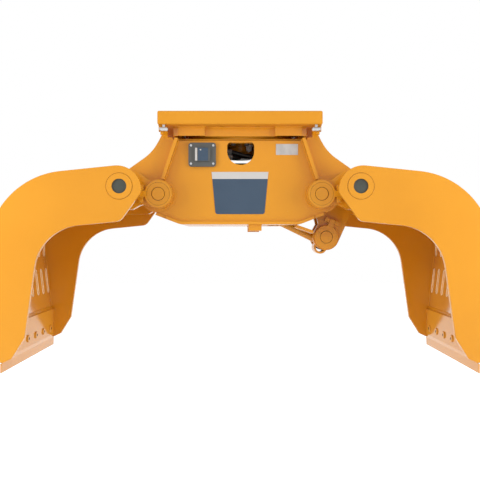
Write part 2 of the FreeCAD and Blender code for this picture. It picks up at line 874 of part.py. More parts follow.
def crest():
    # Raised corner of the plate; its peak stands outside the circle that the skirt's corners sweep.
    steps = [(V(-crest_in_x, 0, wing_crest.z), crest_radius),
             (V(crest_run - crest_in_x, 0, plate_top_z), crest_radius)]
    if peak_in_x + peak_least > -wing_peak.x:
        return [(wing_crest, crest_radius)] + steps
    return [(wing_peak, crest_radius), (V(-peak_in_x, 0, wing_peak.z), crest_radius),
            (V(-peak_in_x, 0, wing_crest.z), crest_radius)] + steps


def housing_face():
    ear = pivot.x - ear_radius
    keel_tip = V(-keel_tip_x, 0, keel_z + (keel_tip_x - keel_half) * tan(radians(keel_rise_deg)))
    return outline(mirrored([
        (V(-keel_half, 0, keel_z), keel_radius), (keel_tip, 4),
        (V(ear, 0, pivot_z - ear_radius), ear_radius - ear_ease),
        (V(ear - horn_root_run, 0, pivot_z + horn_root_rise), horn_root_radius),
        (V(ring.x + horn_throat_run, 0, horn_under_z), horn_throat_radius),
        (V(horn_tip.x, 0, horn_under_z), 4), (horn_tip, 4), (wing_bend, wing_radius)] + crest()))


def window_face():
    half = window_width / 2
    left = window_x - half
    right = window_x + half
    low = window_bottom_z
    return outline([
        (V(left, 0, window_top_z), window_corner), (V(right, 0, window_top_z), window_corner),
        (V(right, 0, low), half - 0.5), (V(left, 0, low), half - 0.5)])


def housing_plate():
    # Front plate with its pivot bosses; the rear one is its mirror image.
    plate = slab(housing_face(), -plate_outer_y, -plate_inner_y)
    boss_y = -plate_outer_y - boss_thick
    bosses = [rod_y(ear_radius, boss_y, -plate_outer_y, at) for at in (pivot, flip(pivot))]
    body = fuse([plate] + bosses)
    holes = [rod_y(bush_radius, -side_outer, 0, at) for at in (pivot, flip(pivot))]
    return cut(body, holes + [slab(window_face(), -side_outer, 0)])


def pivot_bushes():
    shapes = []
    for at in (pivot, flip(pivot)):
        outer = rod_y(bush_radius, -plate_outer_y - boss_thick, -plate_inner_y, at)
        shapes.append(cut(outer, [rod_y(pin_radius + running_gap, -side_outer, 0, at)]))
    return Part.makeCompound(both_y(shapes))


def end_plates():
    curve = band(horn_tip, wing_bend, wing_top + wing_dir * end_thick, wing_radius, 0, end_thick)
    plate = slab(curve, -plate_inner_y, plate_inner_y)
    plate = cut(plate, [block(-side_outer, 0, -side_outer, side_outer, deck_z, top_z)])
    return Part.makeCompound([plate, flip_x(plate)])


def stop_pads():
    # Pads under the horns that the cross tubes meet when the jaws are fully open.
    low = ring.z + tube_radius + stop_gap
    under = horn_tip + V(horn_dir.z, 0, -horn_dir.x) * end_thick
    x_low = ring.x - stop_run_back
    x_high = ring.x + stop_run_in
    left = cross(under, horn_dir, V(x_low, 0, 0), V(0, 0, 1))
    right = cross(under, horn_dir, V(x_high, 0, 0), V(0, 0, 1))
    face = outline([(V(x_low, 0, low), 0), (V(x_high, 0, low), 0), (right, 0), (left, 0)])
    pad = slab(face, stop_inner_y, stop_inner_y + stop_width)
    pads = both_y([pad])
    return Part.makeCompound(pads + [flip_x(p) for p in pads])


def bottom_plate():
    # Keel flange, bent up at both ends where it is narrower, with a gate for the tie rod's lug on the right.
    edge = plate_outer_y + keel_proud
    narrow = plate_outer_y + keel_tip_proud
    rise = tan(radians(keel_rise_deg))
    tip = V(-keel_tip_x, 0, keel_z + (keel_tip_x - keel_half) * rise)
    bend = V(-keel_half, 0, keel_z)
    drop = keel_thick * V(sin(radians(keel_rise_deg)), 0, cos(radians(keel_rise_deg)))
    outer_radius = keel_radius + keel_thick
    bend_low = V(-keel_half - keel_thick * tan(radians(keel_rise_deg / 2)), 0, keel_z - keel_thick)
    face = outline([
        (tip, 0), (tip - drop, 0), (bend_low, outer_radius), (flip(bend_low), outer_radius),
        (flip(tip - drop), 0), (flip(tip), 0), (flip(bend), keel_radius), (bend, keel_radius)])
    body = slab(face, -edge, edge)
    far = 2 * keel_tip_x
    arm_half = lug_outer_y + lug_thick + arm_gate_gap
    gates = [
        block(tie_gate_x, far, -tie_gate_half, tie_gate_half, 0, deck_z),
        block(tie_slit_x, far, -tie_slit_half, tie_slit_half, 0, deck_z),
        block(arm_gate_x, far, -arm_half, arm_half, 0, deck_z),
        block(-far, -arm_gate_x, -arm_half, arm_half, 0, deck_z)]
    trims = both_y([block(keel_wide_x, far, narrow, edge + 1, 0, deck_z),
                    block(-far, -keel_wide_x, narrow, edge + 1, 0, deck_z)])
    return cut(body, gates + trims)


def guard_strips():
    start = V(guard_start_x, 0, keel_z - keel_thick)
    end = start + heading(-guard_slope_deg) * guard_reach
    up = V(0, 0, 1) * (guard_thick / cos(radians(guard_slope_deg)))
    face = outline([(start, 0), (end, 0), (end - up, 0), (start - up, 0)])
    strip = slab(face, tie_gate_half + guard_gap, plate_inner_y - guard_gap)
    return Part.makeCompound(both_y([strip]))


def gusset_ribs():
    # Ribs that stand on the front and rear plates from the deck to the pivot bosses.
    top = V(-rib_top_x, 0, rib_top_z)
    foot_dir = (V(-rib_foot_x, 0, pivot_z + arm_hub_radius) - top).normalize()
    hub = pivot - top
    along = hub.dot(foot_dir)
    aside = sqrt(hub.Length ** 2 - along ** 2)
    stop = along - sqrt((arm_hub_radius + rib_hub_gap) ** 2 - aside ** 2)
    foot = top + foot_dir * stop
    rib = beam(top, foot, rib_thick / 2, plate_outer_y, plate_outer_y + rib_proud)
    rib = cut(rib, [block(-top_half, 0, 0, side_outer, rib_top_z, top_z),
                    rod_y(ear_radius, 0, plate_outer_y + boss_thick, pivot)])
    ribs = both_y([rib])
    return Part.makeCompound(ribs + [flip_x(r) for r in ribs])


def service_feet():
    foot = block(foot_x - foot_width / 2, foot_x + foot_width / 2, plate_outer_y - foot_depth, plate_outer_y,
                 keel_z - keel_thick - foot_height, keel_z - keel_thick)
    return Part.makeCompound(both_y([foot]))


# Slewing head and drive

def gear_face(teeth, tip_r, root_r, extra):
    # Involute gear outline in the XY plane; extra widens or narrows each tooth at the pitch circle.
    pitch_r = gear_module * teeth / 2
    alpha = radians(pressure_deg)
    base_r = pitch_r * cos(alpha)
    half_pitch = pi / (2 * teeth) + extra / (2 * pitch_r)
    steps = 6
    flank = []
    low = max(root_r, base_r)
    for i in range(steps + 1):
        r = low + (tip_r - low) * i / steps
        a = acos(min(1.0, base_r / r))
        flank.append((r, half_pitch + (tan(alpha) - alpha) - (tan(a) - a)))
    points = []
    for tooth in range(teeth):
        mid = 2 * pi * tooth / teeth
        if root_r < base_r:
            points.append(polar(root_r, mid - flank[0][1]))
        points += [polar(r, mid - a) for r, a in flank]
        points += [polar(r, mid + a) for r, a in flank[::-1]]
        if root_r < base_r:
            points.append(polar(root_r, mid + flank[0][1]))
    return Part.Face(Part.makePolygon(points + [points[0]]))


def polar(r, angle):
    return V(r * cos(angle), r * sin(angle), 0)


def gear_ring():
    # Toothed inner ring of the slewing bearing, fixed under the top plate.
    low = deck_top + lift_gap
    space = gear_face(ring_teeth, ring_pitch_r + 1.3 * gear_module,
                      ring_pitch_r - 0.8 * gear_module, gear_backlash)
    space.translate(V(0, 0, low - 1))
    body = rod_z(ring_outer, low, top_z).cut(space.extrude(V(0, 0, top_z - low + 2)))
    tongue_z = (deck_top + top_z) / 2
    tongue = rod_z(ring_outer + tongue_reach, tongue_z - tongue_half, tongue_z + tongue_half).cut(
        rod_z(ring_outer - tongue_reach, low, top_z))
    return fuse([body, tongue])


def race_ring():
    # Outer ring of the slewing bearing, bolted on the deck and grooved for the inner ring.
    high = top_z - lift_gap
    tongue_z = (deck_top + top_z) / 2
    body = rod_z(race_outer, deck_top, high).cut(rod_z(ring_outer + ring_gap, deck_top - 1, high + 1))
    half = tongue_half + ring_gap
    return body.cut(rod_z(ring_outer + tongue_reach + ring_gap, tongue_z - half, tongue_z + half))


def deck_plate():
    x_half = wing_top_x - deck_thick / tan(radians(wing_slope_deg))
    body = block(-x_half, x_half, -plate_inner_y, plate_inner_y, deck_z, deck_top)
    holes = [rod_z(swivel_radius + sleeve_wall, deck_z - 1, deck_top + 1),
             rod_z(pinion_pitch_r + 1.6 * gear_module, deck_z - 1, deck_top + 1, pinion_x)]
    return cut(body, holes)


def deck_bolts():
    heads = []
    for i in range(deck_bolt_count):
        spot = polar(bolt_circle, 2 * pi * (i + 0.5) / deck_bolt_count)
        hexagon = Part.makePolygon([polar(deck_bolt_head, pi * k / 3) for k in range(7)])
        head = Part.Face(hexagon).extrude(V(0, 0, deck_bolt_tall))
        head.translate(V(spot.x, spot.y, deck_z - deck_bolt_tall))
        heads.append(head)
    return Part.makeCompound(heads)


def top_plate():
    body = block(-top_half, top_half, -top_half, top_half, top_z, top_z + top_thick)
    body = body.makeChamfer(top_chamfer, body.Edges)
    holes = [rod_z(swivel_head, top_z + swivel_shoulder, top_z + top_thick + 1),
             rod_z(swivel_radius, top_z - 1, top_z + top_thick)]
    for i in range(adapter_count):
        spot = polar(adapter_circle, 2 * pi * (i + 0.5) / adapter_count)
        holes.append(rod_z(adapter_hole, top_z - 1, top_z + top_thick + 1, spot.x, spot.y))
    return cut(body, holes)


def skirt():
    # Four walls with a recess in each and cut corners.
    def loop(inset):
        h = skirt_half - inset
        e = h - skirt_corner + inset * tan(pi / 8)
        r = skirt_half - skirt_recess - inset
        w = skirt_recess_half + inset
        quarter = [(h, -e), (h, -w), (r, -w), (r, w), (h, w), (h, e)]
        points = []
        for turn in range(4):
            c = round(cos(turn * pi / 2))
            s = round(sin(turn * pi / 2))
            points += [V(c * x - s * y, s * x + c * y, top_z - skirt_height) for x, y in quarter]
        return Part.Face(Part.makePolygon(points + [points[0]])).extrude(V(0, 0, skirt_height))
    return loop(0).cut(loop(skirt_wall))


def at_corners(shape):
    # Four copies of a shape drawn at the +X, +Y corner, mirrored to every corner.
    pair = both_y([shape])
    return Part.makeCompound(pair + [flip_x(s) for s in pair])


def corner_brackets():
    # Stepped brackets under the four corners of the top plate.
    out = top_half - bracket_inset
    y_low = out - bracket_long
    y_high = out - bracket_setback
    step_z = top_z - bracket_tall
    upper = block(out - bracket_thick, out, y_low, y_high, step_z, top_z)
    lower = block(out - bracket_thick, out - bracket_step, y_low, y_high, step_z - bracket_foot, step_z)
    return at_corners(fuse([upper, lower]))


def corner_fittings():
    # Couplings that lie along X in front of the corner brackets, each on a saddle under the plate.
    x_high = top_half - coupling_inset
    x_low = x_high - coupling_long
    at = V(x_low, top_half - coupling_front, top_z - coupling_drop)
    barrel = Part.makeCylinder(coupling_radius, coupling_long, at, V(1, 0, 0))
    rims = [e for e in barrel.Edges if e.BoundBox.XLength < 0.01]
    barrel = barrel.makeFillet(coupling_round, rims)
    x = (x_low + x_high) / 2
    saddle = block(x - saddle_half, x + saddle_half, at.y - saddle_half, at.y + saddle_half, at.z, top_z)
    return at_corners(fuse([barrel, saddle]))


def swivel_core():
    # Fixed core of the oil swivel, its head seated in the top plate.
    shoulder = top_z + swivel_shoulder
    top = top_z + top_thick - swivel_recess
    body = fuse([rod_z(swivel_radius, swivel_bottom_z, shoulder + 1), rod_z(swivel_head, shoulder, top)])
    ports = [rod_z(port_radius, top - port_deep, top + 1, *polar(port_circle, 2 * pi * i / port_count)[:2])
             for i in range(port_count)]
    return cut(body, ports)


def swivel_sleeve():
    body = rod_z(swivel_radius + sleeve_wall, swivel_bottom_z + sleeve_lift, deck_top)
    return body.cut(rod_z(swivel_radius + swivel_gap, swivel_bottom_z, deck_top + 1))


def slew_motor():
    flange = rod_z(motor_flange, deck_z - motor_flange_thick, deck_z, pinion_x)
    low = deck_z - motor_length
    body = rod_z(motor_radius, low, deck_z - motor_flange_thick, pinion_x)
    cap = rod_z(motor_radius - motor_cap_step, low - motor_cap_tall, low, pinion_x)
    bore = rod_z(pinion_shaft + running_gap, deck_z - motor_bore_deep, deck_z + 1, pinion_x)
    return fuse([flange, body, cap]).cut(bore)


def pinion():
    low = deck_top + lift_gap + pinion_lift
    high = top_z - lift_gap - pinion_lift
    face = gear_face(pinion_teeth, pinion_pitch_r + 0.95 * gear_module,
                     pinion_pitch_r - 1.2 * gear_module, -gear_backlash)
    face.translate(V(0, 0, low))
    body = face.extrude(V(0, 0, high - low))
    body.translate(V(pinion_x, 0, 0))
    return fuse([body, rod_z(pinion_shaft, deck_z - motor_bore_deep + face_gap, low + 1, pinion_x)])


# Small fittings on the front plate

front_y = -plate_outer_y
monitor_step_y = front_y - monitor_depth * 0.6


def monitor_box():
    # Case with a raised face, both with rounded corners.
    def tile(inset, radius, y_low, y_high):
        half_w = monitor_width / 2 - inset
        half_h = monitor_height / 2 - inset
        corners = [(V(monitor_x + sx * half_w, 0, monitor_z + sz * half_h), radius)
                   for sx, sz in ((-1, -1), (1, -1), (1, 1), (-1, 1))]
        return slab(outline(corners), y_low, y_high)
    return fuse([tile(0, monitor_corner, monitor_step_y, front_y),
                 tile(monitor_rim, monitor_corner / 2, front_y - monitor_depth, monitor_step_y)])


def monitor_screws():
    run = monitor_width / 2 - monitor_screw_inset_x
    rise = monitor_height / 2 - monitor_screw_inset_z
    places = [V(monitor_x + sx * run, 0, monitor_z + sz * rise) for sx in (-1, 1) for sz in (-1, 1)]
    low = monitor_step_y - monitor_screw
    return Part.makeCompound([rod_y(monitor_screw, low, monitor_step_y, at) for at in places])


def badge_half(z):
    share = (z - badge_low_z) / (badge_top_z - badge_low_z)
    return badge_low_half + (badge_top_half - badge_low_half) * share


def badge(z_low, z_high, low_corner):
    low = badge_half(z_low)
    high = badge_half(z_high)
    face = outline([(V(-low, 0, z_low), low_corner), (V(low, 0, z_low), low_corner),
                    (V(high, 0, z_high), 0), (V(-high, 0, z_high), 0)])
    return slab(face, front_y - badge_thick, front_y)


def rating_plate():
    return block(rating_x - rating_width / 2, rating_x + rating_width / 2, front_y - rating_thick, front_y,
                 rating_z - rating_height / 2, rating_z + rating_height / 2)


# Oil feed inside the housing

def valve_block():
    body = block(valve_x - valve_width / 2, valve_x + valve_width / 2, -valve_depth / 2, valve_depth / 2,
                 deck_z - valve_height, deck_z)
    face = -valve_depth / 2
    studs = [rod_y(valve_stud, face - valve_stud_long, face, V(valve_x + dx, 0, deck_z - valve_stud_drop))
             for dx in (-valve_stud_run, valve_stud_run)]
    return fuse([body] + studs)


def feed_tubes():
    # Two straight tubes from the valve block's side to the swivel sleeve, one a step lower.
    sleeve_r = swivel_radius + sleeve_wall
    start_x = valve_x + valve_width / 2
    end_x = -sqrt((sleeve_r - 2) ** 2 - feed_run ** 2)
    shapes = []
    for y, z in ((-feed_run, deck_z - feed_drop), (feed_run, deck_z - feed_drop + feed_step)):
        tube = Part.makeCylinder(hose_radius, end_x - start_x + 3, V(start_x, y, z), V(1, 0, 0))
        shapes.append(tube.cut(rod_z(sleeve_r, 0, deck_top)))
    return Part.makeCompound(shapes)


# Nodes

def jaw_nodes(name, low, turn):
    plates = {
        "side_front": side_plate(-side_outer, -side_inner),
        "side_rear": side_plate(side_inner, side_outer),
        "shell": shell(),
        "edge_base": blade_base(),
        "wear_blade": wear_blade(),
        "blade_bolts": blade_bolts(),
        "cross_tube": cross_tube(),
        "tube_plugs": tube_plugs(),
        "outer_arms": outer_arms(),
        "inner_arms": inner_arms(low),
        "pivot_pin": pivot_pin(),
        "keepers": pivot_keepers(),
        "inner_pins": inner_pins(low)}
    return {name + "_" + key: turn(shape) for key, shape in plates.items()}


def keep(shape):
    return shape


def build():
    nodes = jaw_nodes("left", False, keep)
    nodes.update(jaw_nodes("right", True, flip_x))
    front = housing_plate()
    nodes.update({
        "cylinder_barrels": barrels(),
        "cylinder_glands": glands(),
        "cylinder_rods": cylinder_rods(),
        "tie_rod": tie_rod(),
        "front_plate": front,
        "rear_plate": flip_y(front),
        "end_plates": end_plates(),
        "stop_pads": stop_pads(),
        "bottom_plate": bottom_plate(),
        "guard_strips": guard_strips(),
        "gusset_ribs": gusset_ribs(),
        "pivot_bushes": pivot_bushes(),
        "service_feet": service_feet(),
        "deck_plate": deck_plate(),
        "deck_bolts": deck_bolts(),
        "race_ring": race_ring(),
        "gear_ring": gear_ring(),
        "top_plate": top_plate(),
        "skirt": skirt(),
        "corner_brackets": corner_brackets(),
        "corner_fittings": corner_fittings(),
        "swivel_core": swivel_core(),
        "swivel_sleeve": swivel_sleeve(),
        "slew_motor": slew_motor(),
        "pinion": pinion(),
        "monitor_box": monitor_box(),
        "monitor_screws": monitor_screws(),
        "badge_strip": badge(badge_split_z, badge_top_z, 0),
        "badge_panel": badge(badge_low_z, badge_split_z, badge_corner),
        "rating_plate": rating_plate(),
        "valve_block": valve_block(),
        "feed_tubes": feed_tubes()})
    return nodes


os.makedirs("parts", exist_ok=True)
for node, shape in build().items():
    if not shape.isValid():
        print("not valid:", node)
    shape.exportStep("parts/" + node + ".step")
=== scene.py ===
# %% [markdown]
# # A two-jaw sorting grapple
# The solids of the grapple come from a CAD model, already in their places and in metres.
# This notebook gives them paint, steel and rubber, adds the small pieces that a solid model leaves
# out, such as weld beads and bolt heads, and sets the light and the camera. The grapple is steel
# all over, so nothing here has to bend or drape, and every piece rides on one rigid body.

# %% Load the frame
import bpy
import bmesh
import json
from math import cos, pi, radians, sin
from mathutils import Matrix, Vector


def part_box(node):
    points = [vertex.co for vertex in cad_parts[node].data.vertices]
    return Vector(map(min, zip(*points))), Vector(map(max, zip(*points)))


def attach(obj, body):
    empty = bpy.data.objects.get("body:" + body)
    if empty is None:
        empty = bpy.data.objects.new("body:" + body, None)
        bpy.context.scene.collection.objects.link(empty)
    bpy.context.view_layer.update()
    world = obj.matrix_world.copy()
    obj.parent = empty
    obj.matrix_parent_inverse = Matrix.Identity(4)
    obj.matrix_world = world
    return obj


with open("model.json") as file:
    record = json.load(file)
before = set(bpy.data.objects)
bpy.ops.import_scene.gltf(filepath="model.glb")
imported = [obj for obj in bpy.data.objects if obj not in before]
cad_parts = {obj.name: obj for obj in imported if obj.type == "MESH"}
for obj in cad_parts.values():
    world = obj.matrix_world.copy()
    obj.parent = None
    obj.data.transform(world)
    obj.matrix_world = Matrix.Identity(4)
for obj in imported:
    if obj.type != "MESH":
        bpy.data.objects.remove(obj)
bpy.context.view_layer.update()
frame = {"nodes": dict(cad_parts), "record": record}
MM = 0.001
SIDES = {"left": -1, "right": 1}

# %% [markdown]
# The plates' edges in the photograph run to one point at the middle of the picture. A camera could
# be turned or shifted to frame an object, but lines that meet in the middle mean that this one
# looks level along +Y, with no turn and no shift, and the point gives its height.

# %% Camera
CAMERA_BACK = 4.045
CAMERA_HEIGHT = 0.613
SENSOR = 36.0
PIXELS_ACROSS = 480.0
FOCAL_PIXELS = 771.7
LEVEL = radians(90)

camera_data = bpy.data.cameras.new("camera")
camera_data.sensor_width = SENSOR
camera_data.lens = SENSOR * FOCAL_PIXELS / PIXELS_ACROSS
camera = bpy.data.objects.new("camera", camera_data)
camera.location = (0.0, -CAMERA_BACK, CAMERA_HEIGHT)
camera.rotation_euler = (LEVEL, 0, 0)
bpy.context.collection.objects.link(camera)
bpy.context.scene.camera = camera
bpy.context.scene.view_settings.view_transform = "Standard"
print("lens", round(camera_data.lens, 2), "mm")

# %% [markdown]
# A material is a tree of nodes. It could be made with one line for each node and one for each link,
# but shader maths reads best as plain expressions. `Value` wraps one socket, and its operators add
# Math nodes. `Shade` is one material: its `add` method makes any other node in one line.


# %% A small language for materials
class Value:
    def __init__(self, shade, socket):
        self.shade = shade
        self.socket = socket

    def math(self, operation, other):
        return self.shade.add("ShaderNodeMath", {"operation": operation}, {0: self, 1: other})

    def __add__(self, other):
        return self.math("ADD", other)

    def __mul__(self, other):
        return self.math("MULTIPLY", other)

    __radd__ = __add__
    __rmul__ = __mul__


class Shade:
    def __init__(self, owner, name="Principled BSDF"):
        owner.use_nodes = True
        self.owner = owner
        self.tree = owner.node_tree
        self.shader = self.tree.nodes[name]

    def add(self, kind, settings, sockets, out=0):
        node = self.tree.nodes.new(kind)
        for name, value in settings.items():
            setattr(node, name, value)
        for key, value in sockets.items():
            self.feed(node.inputs[key], value)
        return Value(self, node.outputs[out])

    def feed(self, socket, value):
        if isinstance(value, Value):
            self.tree.links.new(value.socket, socket)
        else:
            socket.default_value = value

    def set(self, **inputs):
        for name, value in inputs.items():
            self.feed(self.shader.inputs[name.replace("_", " ")], value)
        return self

    def place(self, x=1.0, y=1.0, z=1.0):
        # Object coordinates, stretched: a larger number packs a pattern tighter along that axis.
        here = self.add("ShaderNodeTexCoord", {}, {}, "Object")
        return self.add("ShaderNodeMapping", {}, {"Vector": here, "Scale": (x, y, z)})

    def noise(self, scale, detail=3.0, roughness=0.5, place=None):
        return self.add("ShaderNodeTexNoise", {}, {
            "Vector": place or self.place(), "Scale": scale, "Detail": detail, "Roughness": roughness})

    def ramp(self, value, low, high):
        return self.add("ShaderNodeMapRange", {}, {"Value": value, "From Min": low, "From Max": high})

    def blend(self, amount, first, second):
        # The Mix node's colour inputs are numbers 6 and 7, and its colour output is number 2.
        return self.add("ShaderNodeMix", {"data_type": "RGBA"}, {
            "Factor": amount, 6: first, 7: second}, 2)

    def bump(self, height, depth, strength=0.5, edge=0.0):
        sockets = {"Height": height, "Distance": depth, "Strength": strength}
        if edge:
            sockets["Normal"] = self.add("ShaderNodeBevel", {"samples": 4}, {"Radius": edge})
        return self.add("ShaderNodeBump", {}, sockets)


def material_named(name):
    return Shade(bpy.data.materials.new(name))


def colour(red, green, blue):
    # A colour as a picture editor writes it, turned into the linear light that shaders use.
    linear = [(c / 255 / 12.92) if c / 255 < 0.04045 else ((c / 255 + 0.055) / 1.055) ** 2.4
              for c in (red, green, blue)]
    return (*linear, 1.0)


# %% [markdown]
# The grapple is sprayed in one thick orange-yellow enamel. A plain colour would do from afar, but
# the finish lives in small things: an orange-peel skin a few millimetres wide, a faint cloudiness
# from the spray passes, and edges that round off and catch a line of light. The rounding is a
# Bevel node that feeds the normal, because the plates themselves are cut sharp. Inside the shells
# the load has rubbed the same paint to a higher gloss, which a clear coat gives, and the head is
# duller, because no load ever touches it.

# %% Enamel paint
PAINT = colour(216, 145, 27)
PAINT_DEEP = colour(210, 139, 23)
CLOUD_SPAN = (0.35, 0.7)
DUST_SPAN = (0.45, 0.75)
DUST_DULLS = 0.08
PEEL_PER_METRE = 420.0
PEEL_DEPTH = 0.06 * MM
EDGE_ROUND = 2.2 * MM


def enamel(name, rough, coat=0.0, ior=1.45):
    s = material_named(name)
    cloud = s.ramp(s.noise(2.4, 2.0), *CLOUD_SPAN)
    peel = s.noise(PEEL_PER_METRE, 1.0)
    dust = s.ramp(s.noise(9.0, 6.0, 0.65), *DUST_SPAN)
    s.set(Base_Color=s.blend(cloud, PAINT, PAINT_DEEP), Roughness=rough + dust * DUST_DULLS,
          Normal=s.bump(peel, PEEL_DEPTH, edge=EDGE_ROUND))
    return s.set(IOR=ior, Coat_Weight=coat, Coat_Roughness=0.1).owner


paint = enamel("enamel", 0.2)
polished_paint = enamel("load_polished_enamel", 0.13, coat=1.0, ior=1.65)
dull_paint = enamel("head_enamel", 0.6)
print("enamels", paint.name, polished_paint.name, dull_paint.name)

# %% [markdown]
# The cutting edges carry the same paint, but load slides over them, so they are polished and
# scratched. Scratches could be modelled one by one. A noise that is packed tightly across the blade
# and loosely down it gives them all at once, and they run the way rubble moves. The paint is also
# lifted evenly toward a pale tone, a tenth of the way on the blade and half on the bolt heads: that
# lift is a painted sheen for the white that the glossy blade reflects.

# %% Scratched paint of the cutting edges, with a painted sheen
SCRATCHES = (30.0, 260.0, 6.0)
SCRATCH_DEPTH = 0.04 * MM
SCUFF_SPAN = (0.45, 0.7)
PATCH_SPAN = (0.4, 0.7)
# A pale tone, used both for the scratch marks and for the even painted sheen.
BLADE_WEAR_AND_SHEEN = colour(214, 160, 78)


def scuffed_and_sheened(name, sheen_lift):
    s = material_named(name)
    grain = s.noise(1.0, 4.0, 0.6, s.place(*SCRATCHES))
    patch = s.ramp(s.noise(5.0, 4.0, 0.6), *PATCH_SPAN)
    mark = s.ramp(grain, *SCUFF_SPAN) * patch
    s.set(Base_Color=s.blend(mark * 0.5 + sheen_lift, PAINT, BLADE_WEAR_AND_SHEEN), Roughness=0.12 + mark * 0.12)
    return s.set(Normal=s.bump(grain, SCRATCH_DEPTH, 0.3, EDGE_ROUND), IOR=1.38).owner


# The second number is the even painted sheen: a tenth on the blade, half on the bolt heads.
blade_paint = scuffed_and_sheened("blade_enamel", 0.1)
bolt_paint = scuffed_and_sheened("worn_bolt_enamel", 0.5)
print("scuffed_and_sheened", blade_paint.name, bolt_paint.name)

# %% [markdown]
# Bare metal is told apart by its colour and by the direction of its marks. Turned faces have
# rings, ground faces have straight lines, and zinc has a fine cloudy crystal. One function makes
# them all, because only the stretch of the noise and the gloss differ. The last one is no metal but
# a pale, warm painted highlight for the rims of the drain slots.

# %% Metals
STAIN_SPAN = (0.4, 0.75)
STAIN_DARK = 0.72
MARKS_DULL = 0.12


def metal(name, tone, rough, marks, depth, metallic=1.0):
    # The marks are so many per metre along x, y and z, and so deep.
    s = material_named(name)
    line = s.noise(1.0, 5.0, 0.6, s.place(*marks))
    stain = s.ramp(s.noise(14.0, 5.0, 0.6), *STAIN_SPAN)
    dark = tuple(c * STAIN_DARK for c in tone[:3]) + (1.0,)
    s.set(Base_Color=s.blend(stain, tone, dark), Roughness=rough + line * MARKS_DULL)
    return s.set(Normal=s.bump(line, depth), Metallic=metallic).owner


steel = metal("turned_steel", colour(150, 153, 148), 0.34, (300, 20, 300), 0.08 * MM, 0.85)
phosphate = metal("phosphated_steel", colour(66, 62, 56), 0.45, (200, 200, 200), 0.08 * MM, 0.5)
zinc = metal("zinc", colour(214, 216, 218), 0.28, (180, 180, 180), 0.06 * MM)
chrome = metal("hard_chrome", colour(225, 226, 230), 0.07, (30, 400, 400), 0.02 * MM)
bronze = metal("bronze", colour(176, 132, 76), 0.32, (200, 40, 200), 0.06 * MM)
plug_steel = metal("plug_steel", colour(79, 83, 77), 0.5, (140, 60, 140), 0.10 * MM, 0.3)
plate_silver = metal("plate_silver", colour(192, 190, 187), 0.5, (12, 300, 500), 0.04 * MM, 0.1)
# A pale cream that is a painted highlight, laid along the drain slot rims.
highlight_paint = metal("rubbed_rim", colour(250, 226, 186), 0.3, (90, 90, 90), 0.05 * MM, 0.1)
print("metals", steel.name, zinc.name, chrome.name, bronze.name, highlight_paint.name)

# %% [markdown]
# The hydraulic parts are satin black, and the small fittings on the front are moulded plastic and
# printed film. Each has its own skin: a coarse casting grain, a fine spark-eroded texture, or the
# slight waviness of a film that was rolled on by hand. They differ in scale alone, so again one
# function serves. It also makes a dark brown with hardly any shine, which is painted shade for
# joints, grooves and recesses that fall into shadow.


# %% Castings, plastics, film, rubber and painted shade
def skin(name, tone, rough, scale, depth, spread=0.12, shine=0.5):
    s = material_named(name)
    grain = s.noise(scale, 3.0, 0.6)
    cloud = s.ramp(s.noise(6.0, 3.0), *CLOUD_SPAN)
    lifted = tuple(min(1.0, c * (1 + spread) + 0.004) for c in tone[:3]) + (1.0,)
    s.set(Base_Color=s.blend(cloud, tone, lifted), Roughness=rough + grain * 0.1)
    return s.set(Normal=s.bump(grain, depth), Specular_IOR_Level=shine).owner


black = skin("satin_black", colour(40, 38, 36), 0.42, 320.0, 0.2 * MM)
case_grey = skin("case_grey", colour(82, 83, 80), 0.5, 1500.0, 0.1 * MM, 0.06)
film_blue = skin("film_blue", colour(55, 73, 92), 0.5, 60.0, 0.2 * MM, 0.05)
film_white = skin("film_white", colour(191, 189, 186), 0.45, 60.0, 0.2 * MM, 0.03)
rubber = skin("hose_rubber", colour(26, 25, 24), 0.55, 700.0, 0.3 * MM)
# A dark brown that is painted shade: shadow lines at joints and round pins, and shade in bolt sockets.
painted_shade = skin("dark_grime", colour(58, 38, 18), 0.9, 500.0, 0.3 * MM, shine=0.1)
print("materials", len(bpy.data.materials))

# %% [markdown]
# A CAD solid keeps its shape and only gets a better material. The record already says which
# finish each node has, so most of the work is one table from finish to material. A second table
# holds what differs: the load polishes the shells and the blades, the head is duller, and the
# bearing rings, the swivel and the valve block are sprayed over with the housing.

# %% Materials for the CAD solids
FINISH = {
    "paint": paint, "steel": steel, "zinc": zinc, "chrome": chrome, "black": black,
    "grey_case": case_grey, "panel": film_blue, "strip": film_white, "plate": plate_silver,
    "rubber": rubber, "bronze": bronze}
ON_EACH_JAW = {
    "_wear_blade": blade_paint, "_blade_bolts": bolt_paint, "_edge_base": blade_paint,
    "_shell": polished_paint, "_tube_plugs": plug_steel}
ELSEWHERE = {
    "race_ring": paint, "gear_ring": paint, "swivel_sleeve": paint, "valve_block": paint,
    "top_plate": dull_paint, "corner_brackets": dull_paint, "deck_bolts": phosphate}


def dress(node, material):
    mesh = frame["nodes"][node].data
    mesh.materials.clear()
    mesh.materials.append(material)


for part in frame["record"]["subparts"]:
    dress(part["node"], FINISH[part["material_slot"]])
for side in SIDES:
    for ending, material in ON_EACH_JAW.items():
        dress(side + ending, material)
for node, material in ELSEWHERE.items():
    dress(node, material)
print("dressed", len(frame["nodes"]), "solids")

# %% [markdown]
# Two small node trees make everything that repeats. Building a tree is the same work each time:
# make the sockets, make the nodes, join them. `Tree` wraps that, as `Shade` does for a material,
# so each tree below is about as long as its description.


